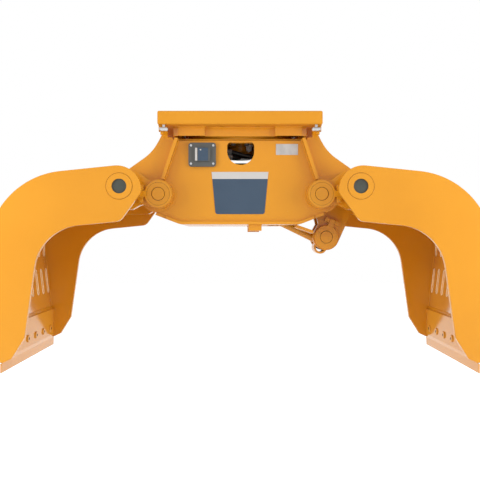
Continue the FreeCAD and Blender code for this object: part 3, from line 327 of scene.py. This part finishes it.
# %% A small language for geometry
class Tree:
    def __init__(self, name, **inputs):
        self.group = bpy.data.node_groups.new(name, "GeometryNodeTree")
        face = self.group.interface
        face.new_socket(name="Geometry", in_out="INPUT", socket_type="NodeSocketGeometry")
        face.new_socket(name="Geometry", in_out="OUTPUT", socket_type="NodeSocketGeometry")
        for key, value in inputs.items():
            kind = "NodeSocketVector" if isinstance(value, tuple) else "NodeSocketFloat"
            made = face.new_socket(name=key.replace("_", " "), in_out="INPUT", socket_type=kind)
            made.default_value = value
        self.start = self.group.nodes.new("NodeGroupInput")

    def given(self, name):
        return self.start.outputs[name]

    def add(self, kind, settings, sockets, out=0):
        node = self.group.nodes.new(kind)
        for name, value in settings.items():
            setattr(node, name, value)
        for key, value in sockets.items():
            if isinstance(value, bpy.types.NodeSocket):
                self.group.links.new(value, node.inputs[key])
            else:
                node.inputs[key].default_value = value
        return node.outputs[out]

    def math(self, operation, first, second=0.0):
        return self.add("ShaderNodeMath", {"operation": operation}, {0: first, 1: second})

    def finish(self, geometry, material):
        real = self.add("GeometryNodeRealizeInstances", {}, {0: geometry})
        dressed = self.add("GeometryNodeSetMaterial", {}, {"Geometry": real, "Material": material})
        end = self.group.nodes.new("NodeGroupOutput")
        self.group.links.new(dressed, end.inputs["Geometry"])
        return self.group


# %% [markdown]
# Weld beads run wherever two plates meet. A bead could be painted on as a bump, but it stands
# proud and shows at the outline. It follows a path and has ripples at an even pitch, so it is made
# by Geometry Nodes: a mesh of edges becomes a curve, its radius swings with its length, and a
# small circle is swept along it. The same tree in other materials draws painted shadow lines and
# painted highlights.

# %% The weld bead tree
RIPPLE_SHARE = 0.13
STEPS_PER_RIPPLE = 3.0
BEAD_SIDES = 6


def bead_tree(material):
    t = Tree("weld_bead", Bead_Radius=4 * MM, Ripple_Pitch=12 * MM)
    curve = t.add("GeometryNodeMeshToCurve", {}, {"Mesh": t.given("Geometry")})
    step = t.math("DIVIDE", t.given("Ripple Pitch"), STEPS_PER_RIPPLE)
    even = t.add("GeometryNodeResampleCurve", {"mode": "LENGTH"}, {"Curve": curve, "Length": step})
    run = t.add("GeometryNodeSplineParameter", {}, {}, "Length")
    turns = t.math("MULTIPLY", t.math("DIVIDE", run, t.given("Ripple Pitch")), 2 * pi)
    swing = t.math("ADD", t.math("MULTIPLY", t.math("SINE", turns), RIPPLE_SHARE), 1.0)
    ring = t.add("GeometryNodeCurvePrimitiveCircle", {}, {
        "Resolution": BEAD_SIDES, "Radius": t.given("Bead Radius")})
    swept = t.add("GeometryNodeCurveToMesh", {}, {
        "Curve": even, "Profile Curve": ring, "Scale": swing, "Fill Caps": True})
    smooth = t.add("GeometryNodeSetShadeSmooth", {}, {0: swept})
    return t.finish(smooth, material)


weld_tree = bead_tree(paint)
shadow_line_tree = bead_tree(painted_shade)
highlight_tree = bead_tree(highlight_paint)
print("bead nodes", len(weld_tree.nodes))

# %% [markdown]
# A bolt head is a hexagon on a washer. It could be copied by hand to each place. The tree sets one
# on every vertex of a mesh, points it along an axis, and gives each a random turn from a fixed
# seed, because nobody lines bolts up.

# %% The bolt tree
BOLT_SEED = 7
FLATS_TO_RADIUS = 1.732
WASHER_RADIUS = 0.68
WASHER_HIGH = 0.28
WASHER_LIFT = 0.4
HEAD_LIFT = 0.5
UP = (0.0, 0.0, 1.0)


def bolt_tree(material):
    t = Tree("hex_bolt", Across_Flats=13 * MM, Head_Height=6 * MM, Axis=UP)
    corner = t.math("DIVIDE", t.given("Across Flats"), FLATS_TO_RADIUS)
    washer_radius = t.math("MULTIPLY", t.given("Across Flats"), WASHER_RADIUS)
    washer_high = t.math("MULTIPLY", t.given("Head Height"), WASHER_HIGH)
    head = t.add("GeometryNodeMeshCylinder", {}, {
        "Vertices": 6, "Radius": corner, "Depth": t.given("Head Height")})
    washer = t.add("GeometryNodeMeshCylinder", {}, {
        "Vertices": 16, "Radius": washer_radius, "Depth": washer_high})
    lift = t.add("ShaderNodeCombineXYZ", {}, {2: t.math("MULTIPLY", t.given("Head Height"), HEAD_LIFT)})
    low = t.add("ShaderNodeCombineXYZ", {}, {2: t.math("MULTIPLY", washer_high, WASHER_LIFT)})
    head_up = t.add("GeometryNodeTransform", {}, {"Geometry": head, "Translation": lift})
    washer_up = t.add("GeometryNodeTransform", {}, {"Geometry": washer, "Translation": low})
    both = t.add("GeometryNodeJoinGeometry", {}, {0: head_up})
    t.group.links.new(washer_up, both.node.inputs[0])
    aim = t.add("FunctionNodeAlignRotationToVector", {"axis": "Z"}, {"Vector": t.given("Axis")})
    spin = t.add("FunctionNodeRandomValue", {}, {"Max": pi, "Seed": BOLT_SEED}, 1)
    turn = t.add("FunctionNodeAxisAngleToRotation", {}, {"Axis": UP, "Angle": spin})
    turned = t.add("FunctionNodeRotateRotation", {"rotation_space": "LOCAL"}, {
        "Rotation": aim, "Rotate By": turn})
    points = t.add("GeometryNodeMeshToPoints", {}, {"Mesh": t.given("Geometry")})
    placed = t.add("GeometryNodeInstanceOnPoints", {}, {
        "Points": points, "Instance": both, "Rotation": turned})
    return t.finish(placed, material)


zinc_bolts = bolt_tree(zinc)
painted_bolts = bolt_tree(paint)
print("bolt nodes", len(zinc_bolts.nodes))

# %% [markdown]
# Every Geometry Nodes piece ends the same way: its inputs are set by their identifiers, the result
# is copied to a plain mesh, and the modifier is gone before the piece joins the frame. A live
# modifier would also render, but the export and the moving joints need a mesh that stays put.


# %% From a node tree to a plain piece
def join_frame(name, mesh, body):
    piece = bpy.data.objects.new(name, mesh)
    bpy.context.collection.objects.link(piece)
    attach(piece, body)
    print(name, "on", body, len(mesh.polygons), "faces")


def grown(name, mesh, tree, body, slot, **inputs):
    seed = bpy.data.objects.new(name + "_seed", mesh)
    bpy.context.collection.objects.link(seed)
    modifier = seed.modifiers.new("grow", "NODES")
    modifier.node_group = tree
    sockets = [item for item in tree.interface.items_tree if item.in_out == "INPUT"]
    named = {item.name: item.identifier for item in sockets}
    for key, value in inputs.items():
        modifier[named[key.replace("_", " ")]] = value
    graph = bpy.context.evaluated_depsgraph_get()
    graph.update()
    plain = bpy.data.meshes.new_from_object(seed.evaluated_get(graph), depsgraph=graph)
    bpy.data.objects.remove(seed)
    join_frame(name, plain, body)


# %% [markdown]
# A bead needs a path. Some are circles, and most lie along an edge that the CAD solid already has:
# the foot of a rib, the end of the shell. `seam` finds those edges on a merged copy of the solid.
# It keeps the sharp ones that lie at one distance across or at one height, so a bead follows the
# real outline and never has to be drawn by hand.

# %% Paths for beads
SHARP = radians(30)
SAME_POINT = 0.02 * MM
SLACK = 0.6 * MM
PATH_STEPS = 48


def angles(count, first=0.0):
    return [2 * pi * (i + first) / count for i in range(count)]


def ring_path(x, y, z, radius):
    return [(x + radius * cos(a), y, z + radius * sin(a)) for a in angles(PATH_STEPS)], True


def merged(node):
    b = bmesh.new()
    b.from_mesh(frame["nodes"][node].data)
    bmesh.ops.remove_doubles(b, verts=b.verts, dist=SAME_POINT)
    return b


def across(p):
    return abs(p.y)


def height(p):
    return p.z


def seam(node, measure, target):
    b = merged(node)
    paths = [([v.co.copy() for v in e.verts], False) for e in b.edges
             if len(e.link_faces) == 2 and e.calc_face_angle(0.0) > SHARP
             and all(abs(measure(v.co) - target) < SLACK for v in e.verts)]
    b.free()
    return paths


def edge_mesh(name, paths):
    # One mesh of edges from a list of (points, closed), with the points that meet made one.
    b = bmesh.new()
    for line, closed in paths:
        points = [b.verts.new(p) for p in line]
        for pair in zip(points, points[1:] + points[:closed]):
            b.edges.new(pair)
    bmesh.ops.remove_doubles(b, verts=b.verts, dist=SAME_POINT)
    mesh = bpy.data.meshes.new(name)
    b.to_mesh(mesh)
    b.free()
    return mesh


def welded(name, paths, body, bead, tree=weld_tree):
    radius, pitch = bead
    grown(name, edge_mesh(name + "_path", paths), tree, body, "paint",
          Bead_Radius=radius, Ripple_Pitch=pitch)


# %% [markdown]
# On each jaw, beads go round the collars of the cross tube, where the shell and the edge bar meet
# the side plates, and where the outer arms stand on the tube. A welder lays a thicker bead on a
# long joint than round a tube, so a bead has its own radius and ripple pitch.

# %% Weld beads on the jaws
THIN_BEAD = (3.0 * MM, 9 * MM)
THICK_BEAD = (4.0 * MM, 11 * MM)
OUTER_COLLAR = (0.6 * MM, 0.8 * MM)
INNER_COLLAR = (-2 * MM, 1 * MM)
ARM_COLLAR = (2 * MM, 1 * MM)


def tube_circle(side):
    # The middle and the radius of the cross tube, seen along Y.
    low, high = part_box(side + "_cross_tube")
    return (low[0] + high[0]) / 2, (low[2] + high[2]) / 2, (high[0] - low[0]) / 2


def wall_of(side):
    # How far across the inner faces of the two side plates lie.
    return -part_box(side + "_side_front")[1][1]


for side in SIDES:
    tube_x, tube_z, tube_r = tube_circle(side)
    faces = (-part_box(side + "_side_front")[0][1], wall_of(side), -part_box(side + "_outer_arms")[0][1])
    rings = []
    for way in (-1, 1):
        for face, (out, wider) in zip(faces, (OUTER_COLLAR, INNER_COLLAR, ARM_COLLAR)):
            rings.append(ring_path(tube_x, way * (face + out), tube_z, tube_r + wider))
    welded(side + "_collar_welds", rings, side + "_jaw", THIN_BEAD)
    lines = seam(side + "_shell", across, wall_of(side)) + seam(side + "_edge_base", across, wall_of(side))
    welded(side + "_shell_welds", lines, side + "_jaw", THICK_BEAD)

# %% [markdown]
# The edge bar is butted against the shell, and a thin shadow line falls along the joint right
# across each jaw. That shadow is painted: a thin bead in the dark painted-shade colour, laid along
# the bar's upper inner edge. It could be a dark band in the paint, but a bead keeps its width and
# its place on any jaw.

# %% Painted shadow line above the edge bar
SHADOW_LINE_BEAD = (1.8 * MM, 9 * MM)
for side, way in SIDES.items():
    b = merged(side + "_edge_base")
    upper = max((v.co.copy() for v in b.verts), key=lambda p: p.z - way * p.x)
    b.free()
    line = [(upper.x, -abs(upper.y), upper.z), (upper.x, abs(upper.y), upper.z)]
    welded(side + "_dirt_line", [(line, False)], side + "_jaw", SHADOW_LINE_BEAD, shadow_line_tree)

# %% [markdown]
# Inside the jaw each drain slot shows a bright, pale outline of light. That light is painted here:
# a narrow pale bead along each rim. The rims are the sharp edges between a slot's wall and a shell
# face that looks into the jaw, and a test finds them. The highlight is a narrow bead too, with
# hardly any ripple at a long pitch.

# %% Painted highlights on the rims of the drain slots
RIM_BEAD = (2.2 * MM, 27 * MM)
JAW_MIDDLE = (0.75, 0.45)
FACE_TILT = 0.1


def slot_rim_highlights(side, way):
    b = merged(side + "_shell")
    middle = Vector((way * JAW_MIDDLE[0], 0.0, JAW_MIDDLE[1]))
    reach = wall_of(side) - MM
    paths = []
    for e in b.edges:
        if len(e.link_faces) != 2 or e.calc_face_angle(0.0) < SHARP:
            continue
        start, end = (v.co.copy() for v in e.verts)
        facing = min((f.normal for f in e.link_faces), key=lambda n: abs(n.y))
        inward = facing.dot(middle - start) > 0 and abs(facing.y) < FACE_TILT
        if inward and max(abs(start.y), abs(end.y)) < reach:
            paths.append(([start, end], False))
    b.free()
    return paths


# Each slot rim gets a pale bead that is a painted highlight.
for side, way in SIDES.items():
    welded(side + "_slot_rims", slot_rim_highlights(side, way), side + "_jaw", RIM_BEAD, highlight_tree)

# %% [markdown]
# The housing is a box of plates. Its beads follow the feet of the gusset ribs, the end plates'
# edges inside and the two service feet. On the slewing head, the skirt and the corner brackets
# hang from the top plate, so a bead runs along each of their top edges.

# %% Weld beads on the housing and the head
RIB_BEAD = (3.5 * MM, 10 * MM)
HEAD_BEAD = (3.0 * MM, 10 * MM)
plate_front = -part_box("badge_panel")[1][1]
plate_inside = -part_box("deck_plate")[0][1]
foot_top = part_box("service_feet")[1][2]
under_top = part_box("top_plate")[0][2]
welded("rib_welds", seam("gusset_ribs", across, plate_front), "housing", RIB_BEAD)
lines = seam("end_plates", across, plate_inside) + seam("deck_plate", across, plate_inside)
welded("inside_welds", lines, "housing", THICK_BEAD)
welded("foot_welds", seam("service_feet", height, foot_top), "housing", THIN_BEAD)
lines = seam("skirt", height, under_top) + seam("corner_brackets", height, under_top)
welded("head_welds", lines, "head", HEAD_BEAD)

# %% [markdown]
# Bolts hold the keeper blocks of the pivot pins, the slew motor and the cylinder glands. Their
# places are rings and rows of points on the faces that the solids give, so that a bolt never
# floats or sinks. Each size is a width across the flats and a height.

# %% Bolts
KEEPER_BOLT = (13 * MM, 6 * MM)
MOTOR_BOLT = (10 * MM, 6 * MM)
GLAND_BOLT = (8 * MM, 5 * MM)
KEEPER_IN = 9 * MM
FLANGE_THICK = 18 * MM
MOTOR_BOLT_CIRCLE = 62 * MM
GLAND_BOLT_SHARE = 0.83
RING_BOLTS = 6


def bolts(name, points, tree, body, slot, size, axis):
    mesh = bpy.data.meshes.new(name)
    mesh.from_pydata(points, [], [])
    grown(name, mesh, tree, body, slot, Across_Flats=size[0], Head_Height=size[1], Axis=axis)


for side in SIDES:
    low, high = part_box(side + "_keepers")
    keeper_x = (low[0] + high[0]) / 2
    for name, way in (("front", -1), ("rear", 1)):
        spots = [(keeper_x, way * -low[1], z) for z in (low[2] + KEEPER_IN, high[2] - KEEPER_IN)]
        bolts(f"{side}_{name}_keeper_bolts", spots, painted_bolts, side + "_jaw", "paint",
              KEEPER_BOLT, (0.0, way * 1.0, 0.0))

low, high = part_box("slew_motor")
motor_x = (low[0] + high[0]) / 2
spots = [(motor_x + MOTOR_BOLT_CIRCLE * cos(a), MOTOR_BOLT_CIRCLE * sin(a), high[2] - FLANGE_THICK)
         for a in angles(RING_BOLTS)]
bolts("motor_bolts", spots, zinc_bolts, "housing", "zinc", MOTOR_BOLT, (0.0, 0.0, -1.0))

low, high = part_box("cylinder_glands")
gland_r = (high[2] - low[2]) / 2
gland_z = (high[2] + low[2]) / 2
gland_y = high[1] - gland_r
spots = [(high[0], way * gland_y + gland_r * GLAND_BOLT_SHARE * cos(a),
          gland_z + gland_r * GLAND_BOLT_SHARE * sin(a)) for way in (-1, 1) for a in angles(RING_BOLTS, 0.5)]
bolts("gland_bolts", spots, zinc_bolts, "barrels", "zinc", GLAND_BOLT, (1.0, 0.0, 0.0))

# %% [markdown]
# The blade bolts are countersunk and turned with a hexagon key, so each head has a hexagonal
# socket, dark with shade. A real socket is a hole; here a flat dark hexagon just proud of the head
# stands in for it, and its darkness is painted shade. Its place comes from the loose parts of the
# bolt solid.

# %% Painted shade in the sockets of the blade bolts
SOCKET_RADIUS = 7.5 * MM
SOCKET_SUNK = 1.5 * MM
SOCKET_THICK = 1.9 * MM
SOCKET_TURN = 0.7


def islands(node):
    # The lowest and the highest corner of each loose part of a solid.
    b = merged(node)
    left = set(b.verts)
    found = []
    while left:
        open_ends = [left.pop()]
        group = list(open_ends)
        while open_ends:
            for edge in open_ends.pop().link_edges:
                for v in edge.verts:
                    if v in left:
                        left.discard(v)
                        open_ends.append(v)
                        group.append(v)
        found.append([[f(v.co[i] for v in group) for i in range(3)] for f in (min, max)])
    b.free()
    return sorted(found)


def prism(b, base, axis, radius, depth, sides, turn=0.0):
    # A closed prism from the middle of its base along an axis, added to a bmesh.
    aim = Vector(axis).normalized().to_track_quat("Z", "Y").to_matrix().to_4x4()
    spot = Matrix.Translation(Vector(base) + Vector(axis).normalized() * depth / 2)
    bmesh.ops.create_cone(b, cap_ends=True, segments=sides, radius1=radius, radius2=radius, depth=depth,
                          matrix=spot @ aim @ Matrix.Rotation(turn, 4, "Z"))


def solid(name, b, material, body, smooth=False):
    mesh = bpy.data.meshes.new(name)
    bmesh.ops.recalc_face_normals(b, faces=b.faces)
    b.to_mesh(mesh)
    b.free()
    mesh.materials.append(material)
    if smooth:
        mesh.shade_smooth()
    join_frame(name, mesh, body)


for side, way in SIDES.items():
    b = bmesh.new()
    for i, (low, high) in enumerate(islands(side + "_blade_bolts")):
        inside = high[0] if way < 0 else low[0]
        base = (inside + way * SOCKET_SUNK, (low[1] + high[1]) / 2, (low[2] + high[2]) / 2)
        prism(b, base, (-way, 0, 0), SOCKET_RADIUS, SOCKET_THICK, 6, i * SOCKET_TURN)
    # Dark hexagons of painted shade, where the socket holes would lie in shadow.
    solid(side + "_bolt_sockets", b, painted_shade, side + "_jaw")

# %% [markdown]
# Each pin ends flush in a round cap. Thin shadow lines fall round the pin end, round the cap's
# turned rim and round the weld of the cross tube, and here that shade is painted as thin dark rings.
# A line could be painted by its distance from the pin, but the caps are cut into many nodes. A flat
# ring, a little proud of the face, is one piece: four circles joined by strips.

# %% Painted shadow lines round the pin ends
LINE_PROUD = 0.25 * MM
LINE_WIDE = 2.6 * MM
LINE_SLOPE = 0.25
RIM_LINE_WIDE = 1.3 * MM
WELD_LINE_SHARE = 0.6
WELD_LINE_OUT = 3.4 * MM
RING_STEPS = 64
PIN_RADIUS = 30 * MM
PIN_PROUD = 4 * MM
CAP_RIM = 54 * MM
TIE_PIN_IN = 50 * MM
TIE_CAP_RADIUS = 60 * MM
TIE_CAP_FACE = 115 * MM


def strips(b, loops):
    # Faces between each loop of points and the next.
    for first, second in zip(loops, loops[1:]):
        for i, start in enumerate(first):
            after = (i + 1) % len(first)
            b.faces.new((start, first[after], second[after], second[i]))


def flat_ring(b, x, y, z, radius, wide, way):
    # A thin raised ring that faces -Y or +Y.
    profile = ((0.0, -LINE_PROUD), (LINE_SLOPE, LINE_PROUD),
               (1 - LINE_SLOPE, LINE_PROUD), (1.0, -LINE_PROUD))
    loops = []
    for share, lift in profile:
        r = radius + wide * share
        loops.append([b.verts.new((x + r * cos(a), y + way * lift, z + r * sin(a)))
                      for a in angles(RING_STEPS)])
    strips(b, loops + loops[:1])


joints = frame["record"]["behaviour"]["joints"]
pivots = {joint["name"]: joint["pos_m"] for joint in joints if "pos_m" in joint}
tie_pin_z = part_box("right_inner_pins")[0][2] + TIE_CAP_RADIUS
for side in SIDES:
    pin_x, _, pin_z = pivots["jaw_" + side]
    cap_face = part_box(side + "_pivot_pin")[1][1] - PIN_PROUD
    plate_face = -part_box(side + "_side_front")[0][1]
    tube_x, tube_z, tube_r = tube_circle(side)
    b = bmesh.new()
    for way in (-1, 1):
        flat_ring(b, pin_x, way * cap_face, pin_z, PIN_RADIUS, LINE_WIDE, way)
        flat_ring(b, pin_x, way * cap_face, pin_z, CAP_RIM, RIM_LINE_WIDE, way)
        flat_ring(b, tube_x, way * plate_face, tube_z, tube_r + WELD_LINE_OUT,
                  LINE_WIDE * WELD_LINE_SHARE, way)
        if side == "right":
            flat_ring(b, pin_x + TIE_PIN_IN, way * TIE_CAP_FACE, tie_pin_z, PIN_RADIUS, LINE_WIDE, way)
    # The rings are painted shadow lines, in the dark painted-shade colour.
    solid(side + "_pin_lines", b, painted_shade, side + "_jaw")

# %% [markdown]
# The monitor on the front has a label film, a light bar and a small lamp. A film could be a flat
# patch of colour, but a real one has a thickness that catches light at its rim. So it is a thin
# tile with rounded corners and a soft front edge: three rings of points, closed at both ends.

# %% The monitor's face
CORNER_STEPS = 5
FILM_EASE = 0.4 * MM
FILM_FOOT = 0.5 * MM
MONITOR_FILMS = (
    # name, middle x and z, width, height, corner radius and thickness in mm, material, slot
    ("monitor_label", (-179, 1028, 49, 63), 3, 1.3, film_blue, "panel"),
    ("monitor_bar", (-212, 1028, 10, 62), 2, 1.3, film_white, "strip"),
    ("monitor_lamp", (-191, 1049.5, 7.5, 7.5), 3.7, 1.8, film_white, "strip"))


def rounded(x, z, wide, tall, corner, y):
    points = []
    for cx, cz, start in ((1, 1, 0), (-1, 1, 90), (-1, -1, 180), (1, -1, 270)):
        for i in range(CORNER_STEPS + 1):
            a = radians(start + 90 * i / CORNER_STEPS)
            points.append((x + cx * (wide / 2 - corner) + corner * cos(a), y,
                           z + cz * (tall / 2 - corner) + corner * sin(a)))
    return points


def closed_rings(b, rings):
    # Loops of points joined by strips, with a face over each end.
    loops = [[b.verts.new(p) for p in ring] for ring in rings]
    strips(b, loops)
    b.faces.new(loops[0])
    b.faces.new(loops[-1])


def tile(b, x, z, wide, tall, corner, y, thick):
    # The foot, the shoulder and the eased front, facing -Y.
    eased = (wide - 2 * FILM_EASE, tall - 2 * FILM_EASE, max(corner - FILM_EASE, FILM_EASE / 2))
    closed_rings(b, [rounded(x, z, wide, tall, corner, y),
                     rounded(x, z, wide, tall, corner, y - thick + FILM_EASE),
                     rounded(x, z, *eased, y - thick)])


face_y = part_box("monitor_box")[0][1]
for name, place, corner, thick, material, slot in MONITOR_FILMS:
    b = bmesh.new()
    tile(b, *(size * MM for size in place), corner * MM, face_y + FILM_FOOT, thick * MM)
    solid(name, b, material, "housing")

# %% [markdown]
# Behind the window run two bent pipes from the valve block, with bright end fittings, and a test
# plug hangs under the deck. A bevelled curve could make a pipe. Here a circle is carried along a
# path of rounded points, because that gives a closed mesh at once, with even rings at the bends.

# %% Pipes and fittings behind the window
PIPE_RADIUS = 11.5 * MM
PIPE_SIDES = 20
SPLINE_STEPS = 8
NUT_OUT = 1.6 * MM
NUT_SIDES = 6
SLEEVE_OUT = 0.8 * MM
SLEEVE_START = 0.2
SLEEVE_LONG = 1.3
ROUND_SIDES = 24
TEST_PLUG = (46 * MM, -150 * MM)
PIPES = {
    "supply_pipe": [
        (-98, -70, 1052), (-98, -98, 1056), (-88, -116, 1063), (-60, -121, 1063), (0, -121, 1048),
        (70, -118, 1031), (120, -104, 1020), (140, -84, 1014), (144, -50, 1012)],
    "return_pipe": [
        (-166, -70, 1052), (-166, -94, 1050), (-150, -110, 1045), (-110, -114, 1041),
        (-60, -112, 1037), (-22, -100, 1032), (-6, -84, 1034), (-2, -66, 1046)]}
FITTINGS = (
    # middle of a fitting's foot, and the way it runs, both in mm
    ((-74, -120, 1065), (22, -1, -3.5)), ((-72, -112.8, 1038.2), (22, 1, -2.2)),
    ((144, -53, 1012), (0, -20, 0.5)), ((-98, -76, 1052.6), (0, -12, 1)),
    ((-166, -76, 1051.6), (0, -12, -1)))
PLUG_RINGS = (
    # radius, how far below the deck, height and number of sides
    (20, 0, 7, 24), (17, 7, 12, 6), (14, 19, 9, 24), (7, 28, 5, 16))


def spline(points):
    # A smooth path through the points.
    p = [Vector(q) * MM for q in points]
    p = [p[0] * 2 - p[1]] + p + [p[-1] * 2 - p[-2]]
    path = []
    for a, b, c, d in zip(p, p[1:], p[2:], p[3:]):
        for i in range(SPLINE_STEPS):
            t = i / SPLINE_STEPS
            path.append(0.5 * (b * 2 + (c - a) * t + (a * 2 - b * 5 + c * 4 - d) * t * t
                               + (b * 3 - a - c * 3 + d) * t ** 3))
    return path + [p[-2]]


def sweep(b, path, radius):
    rings = []
    side = Vector((0, 0, 1))
    for i, point in enumerate(path):
        along = (path[min(i + 1, len(path) - 1)] - path[max(i - 1, 0)]).normalized()
        side = (side - along * side.dot(along)).normalized()
        other = along.cross(side)
        rings.append([point + (side * cos(a) + other * sin(a)) * radius for a in angles(PIPE_SIDES)])
    closed_rings(b, rings)


for name, points in PIPES.items():
    b = bmesh.new()
    sweep(b, spline(points), PIPE_RADIUS)
    solid(name, b, black, "housing", True)

b = bmesh.new()
for foot, run in FITTINGS:
    foot = Vector(foot) * MM
    long = Vector(run).length * MM
    prism(b, foot, run, PIPE_RADIUS + NUT_OUT, long, NUT_SIDES)
    prism(b, foot + Vector(run) * MM * SLEEVE_START, run, PIPE_RADIUS + SLEEVE_OUT,
          long * SLEEVE_LONG, ROUND_SIDES)
solid("pipe_fittings", b, plate_silver, "housing")

deck_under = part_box("deck_plate")[0][2]
b = bmesh.new()
for radius, down, tall, sides in PLUG_RINGS:
    prism(b, (*TEST_PLUG, deck_under - down * MM), (0, 0, -1), radius * MM, tall * MM, sides)
solid("test_plug", b, plate_silver, "housing")

# %% [markdown]
# The hose ports on the swivel are shut with pressed-in plastic caps while the grapple has no
# carrier, each a disc with a rounded rim and a thumb tab. A turned profile would be finer, but
# three flat discs of falling width give the same steps at this size.

# %% Caps of the oil ports
PORT_CIRCLE = 62 * MM
PORT_COUNT = 6
CAP_SIDES = 32
CAP_DISCS = (
    # foot above the swivel's top, radius and height in mm
    (-3, 10.9, 3.2), (0, 13.5, 1.6), (1.6, 12.3, 1.0))
TAB_OUT = 1.22
TAB_FOOT = 0.2 * MM
TAB_RADIUS = 4 * MM
TAB_THICK = 1.8 * MM
TAB_SIDES = 16

swivel_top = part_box("swivel_core")[1][2]
b = bmesh.new()
for a in angles(PORT_COUNT):
    x, y = PORT_CIRCLE * cos(a), PORT_CIRCLE * sin(a)
    for foot, radius, tall in CAP_DISCS:
        prism(b, (x, y, swivel_top + foot * MM), UP, radius * MM, tall * MM, CAP_SIDES)
    prism(b, (x * TAB_OUT, y * TAB_OUT, swivel_top + TAB_FOOT), UP, TAB_RADIUS, TAB_THICK, TAB_SIDES)
solid("port_caps", b, black, "head")

# %% [markdown]
# The floor is a plain pale sheet. The grapple hangs above it, as on a crane, because the jaws
# swing 0.3 m below their open height as they close. More light would turn the floor white, but it
# would bleach the paint too. So the floor glows a little for the camera, for reflections and for
# light through glass alone, which keeps its soft shadow, and the world is white for those rays and
# plain soft light for the rest.

# %% Floor and world
FLOOR_HALF = 12.0
FLOOR_DROP = 0.31
FLOOR_PALE = (0.86, 0.86, 0.86, 1.0)
FLOOR_GLOW = (0.36, 0.36, 0.36, 1.0)
NO_GLOW = (0.0, 0.0, 0.0, 1.0)
WHITE = (1.0, 1.0, 1.0, 1.0)
WORLD_LIGHT = 0.85
CORNERS = ((-1, -1), (1, -1), (1, 1), (-1, 1))


def seen_directly(s):
    # 1 for the camera, for reflections and for light through glass, else 0.
    kinds = ("Camera", "Glossy", "Transmission")
    rays = [s.add("ShaderNodeLightPath", {}, {}, f"Is {kind} Ray") for kind in kinds]
    return s.add("ShaderNodeClamp", {}, {"Value": rays[0] + rays[1] + rays[2]})


floor_mesh = bpy.data.meshes.new("floor")
floor_mesh.from_pydata([(x * FLOOR_HALF, y * FLOOR_HALF, -FLOOR_DROP) for x, y in CORNERS],
                       [], [(0, 1, 2, 3)])
floor = bpy.data.objects.new("floor", floor_mesh)
bpy.context.collection.objects.link(floor)
pale = material_named("pale_floor")
glow = pale.blend(seen_directly(pale), NO_GLOW, FLOOR_GLOW)
pale.set(Base_Color=FLOOR_PALE, Roughness=0.9, Emission_Color=glow, Emission_Strength=1.0)
floor_mesh.materials.append(pale.owner)

bpy.context.scene.world = bpy.data.worlds.new("studio")
sky = Shade(bpy.context.scene.world, "Background")
sky.set(Color=WHITE, Strength=seen_directly(sky) * (1 - WORLD_LIGHT) + WORLD_LIGHT)
print("floor", FLOOR_DROP, "m below the open jaws, world light", WORLD_LIGHT)

# %% [markdown]
# Two large soft lamps stand at the sides, in front of the jaws, two weaker ones stand behind them,
# and one hangs high in front. One strong lamp would draw hard shadows. Here the near plates face
# the front lamps, the housing sits deeper and between them, and the top plate shades the skirt,
# which shows the depth of the grapple without any strong light.


# %% Lamps
def lamp(name, place, target, size, watts):
    data = bpy.data.lights.new(name, "AREA")
    data.shape = "DISK"
    data.size = size
    data.energy = watts
    made = bpy.data.objects.new(name, data)
    made.location = place
    made.rotation_euler = (Vector(target) - Vector(place)).to_track_quat("-Z", "Y").to_euler()
    made.visible_camera = False
    made.visible_glossy = False
    bpy.context.collection.objects.link(made)
    print(name, watts, "W")


LAMP_OUT = 2.3
LAMP_BACK = 1.9
LAMP_HIGH = 1.0
AIM_OUT = 0.6
AIM_HIGH = 0.6
SIDE_SIZE = 1.2
SIDE_WATTS = 27.0
REAR_WATTS = 14.0
TOP_PLACE = (0.0, -2.4, 3.2)
TOP_AIM = (0.0, 0.0, 0.8)
TOP_SIZE = 1.6
TOP_WATTS = 5.0


def lamp_pair(name, y, watts):
    for side, way in SIDES.items():
        lamp(f"{name}_{side}", (way * LAMP_OUT, y, LAMP_HIGH), (way * AIM_OUT, 0.0, AIM_HIGH),
             SIDE_SIZE, watts)


lamp_pair("side_soft", -LAMP_BACK, SIDE_WATTS)
lamp("top_soft", TOP_PLACE, TOP_AIM, TOP_SIZE, TOP_WATTS)
lamp_pair("rear_soft", LAMP_BACK, REAR_WATTS)
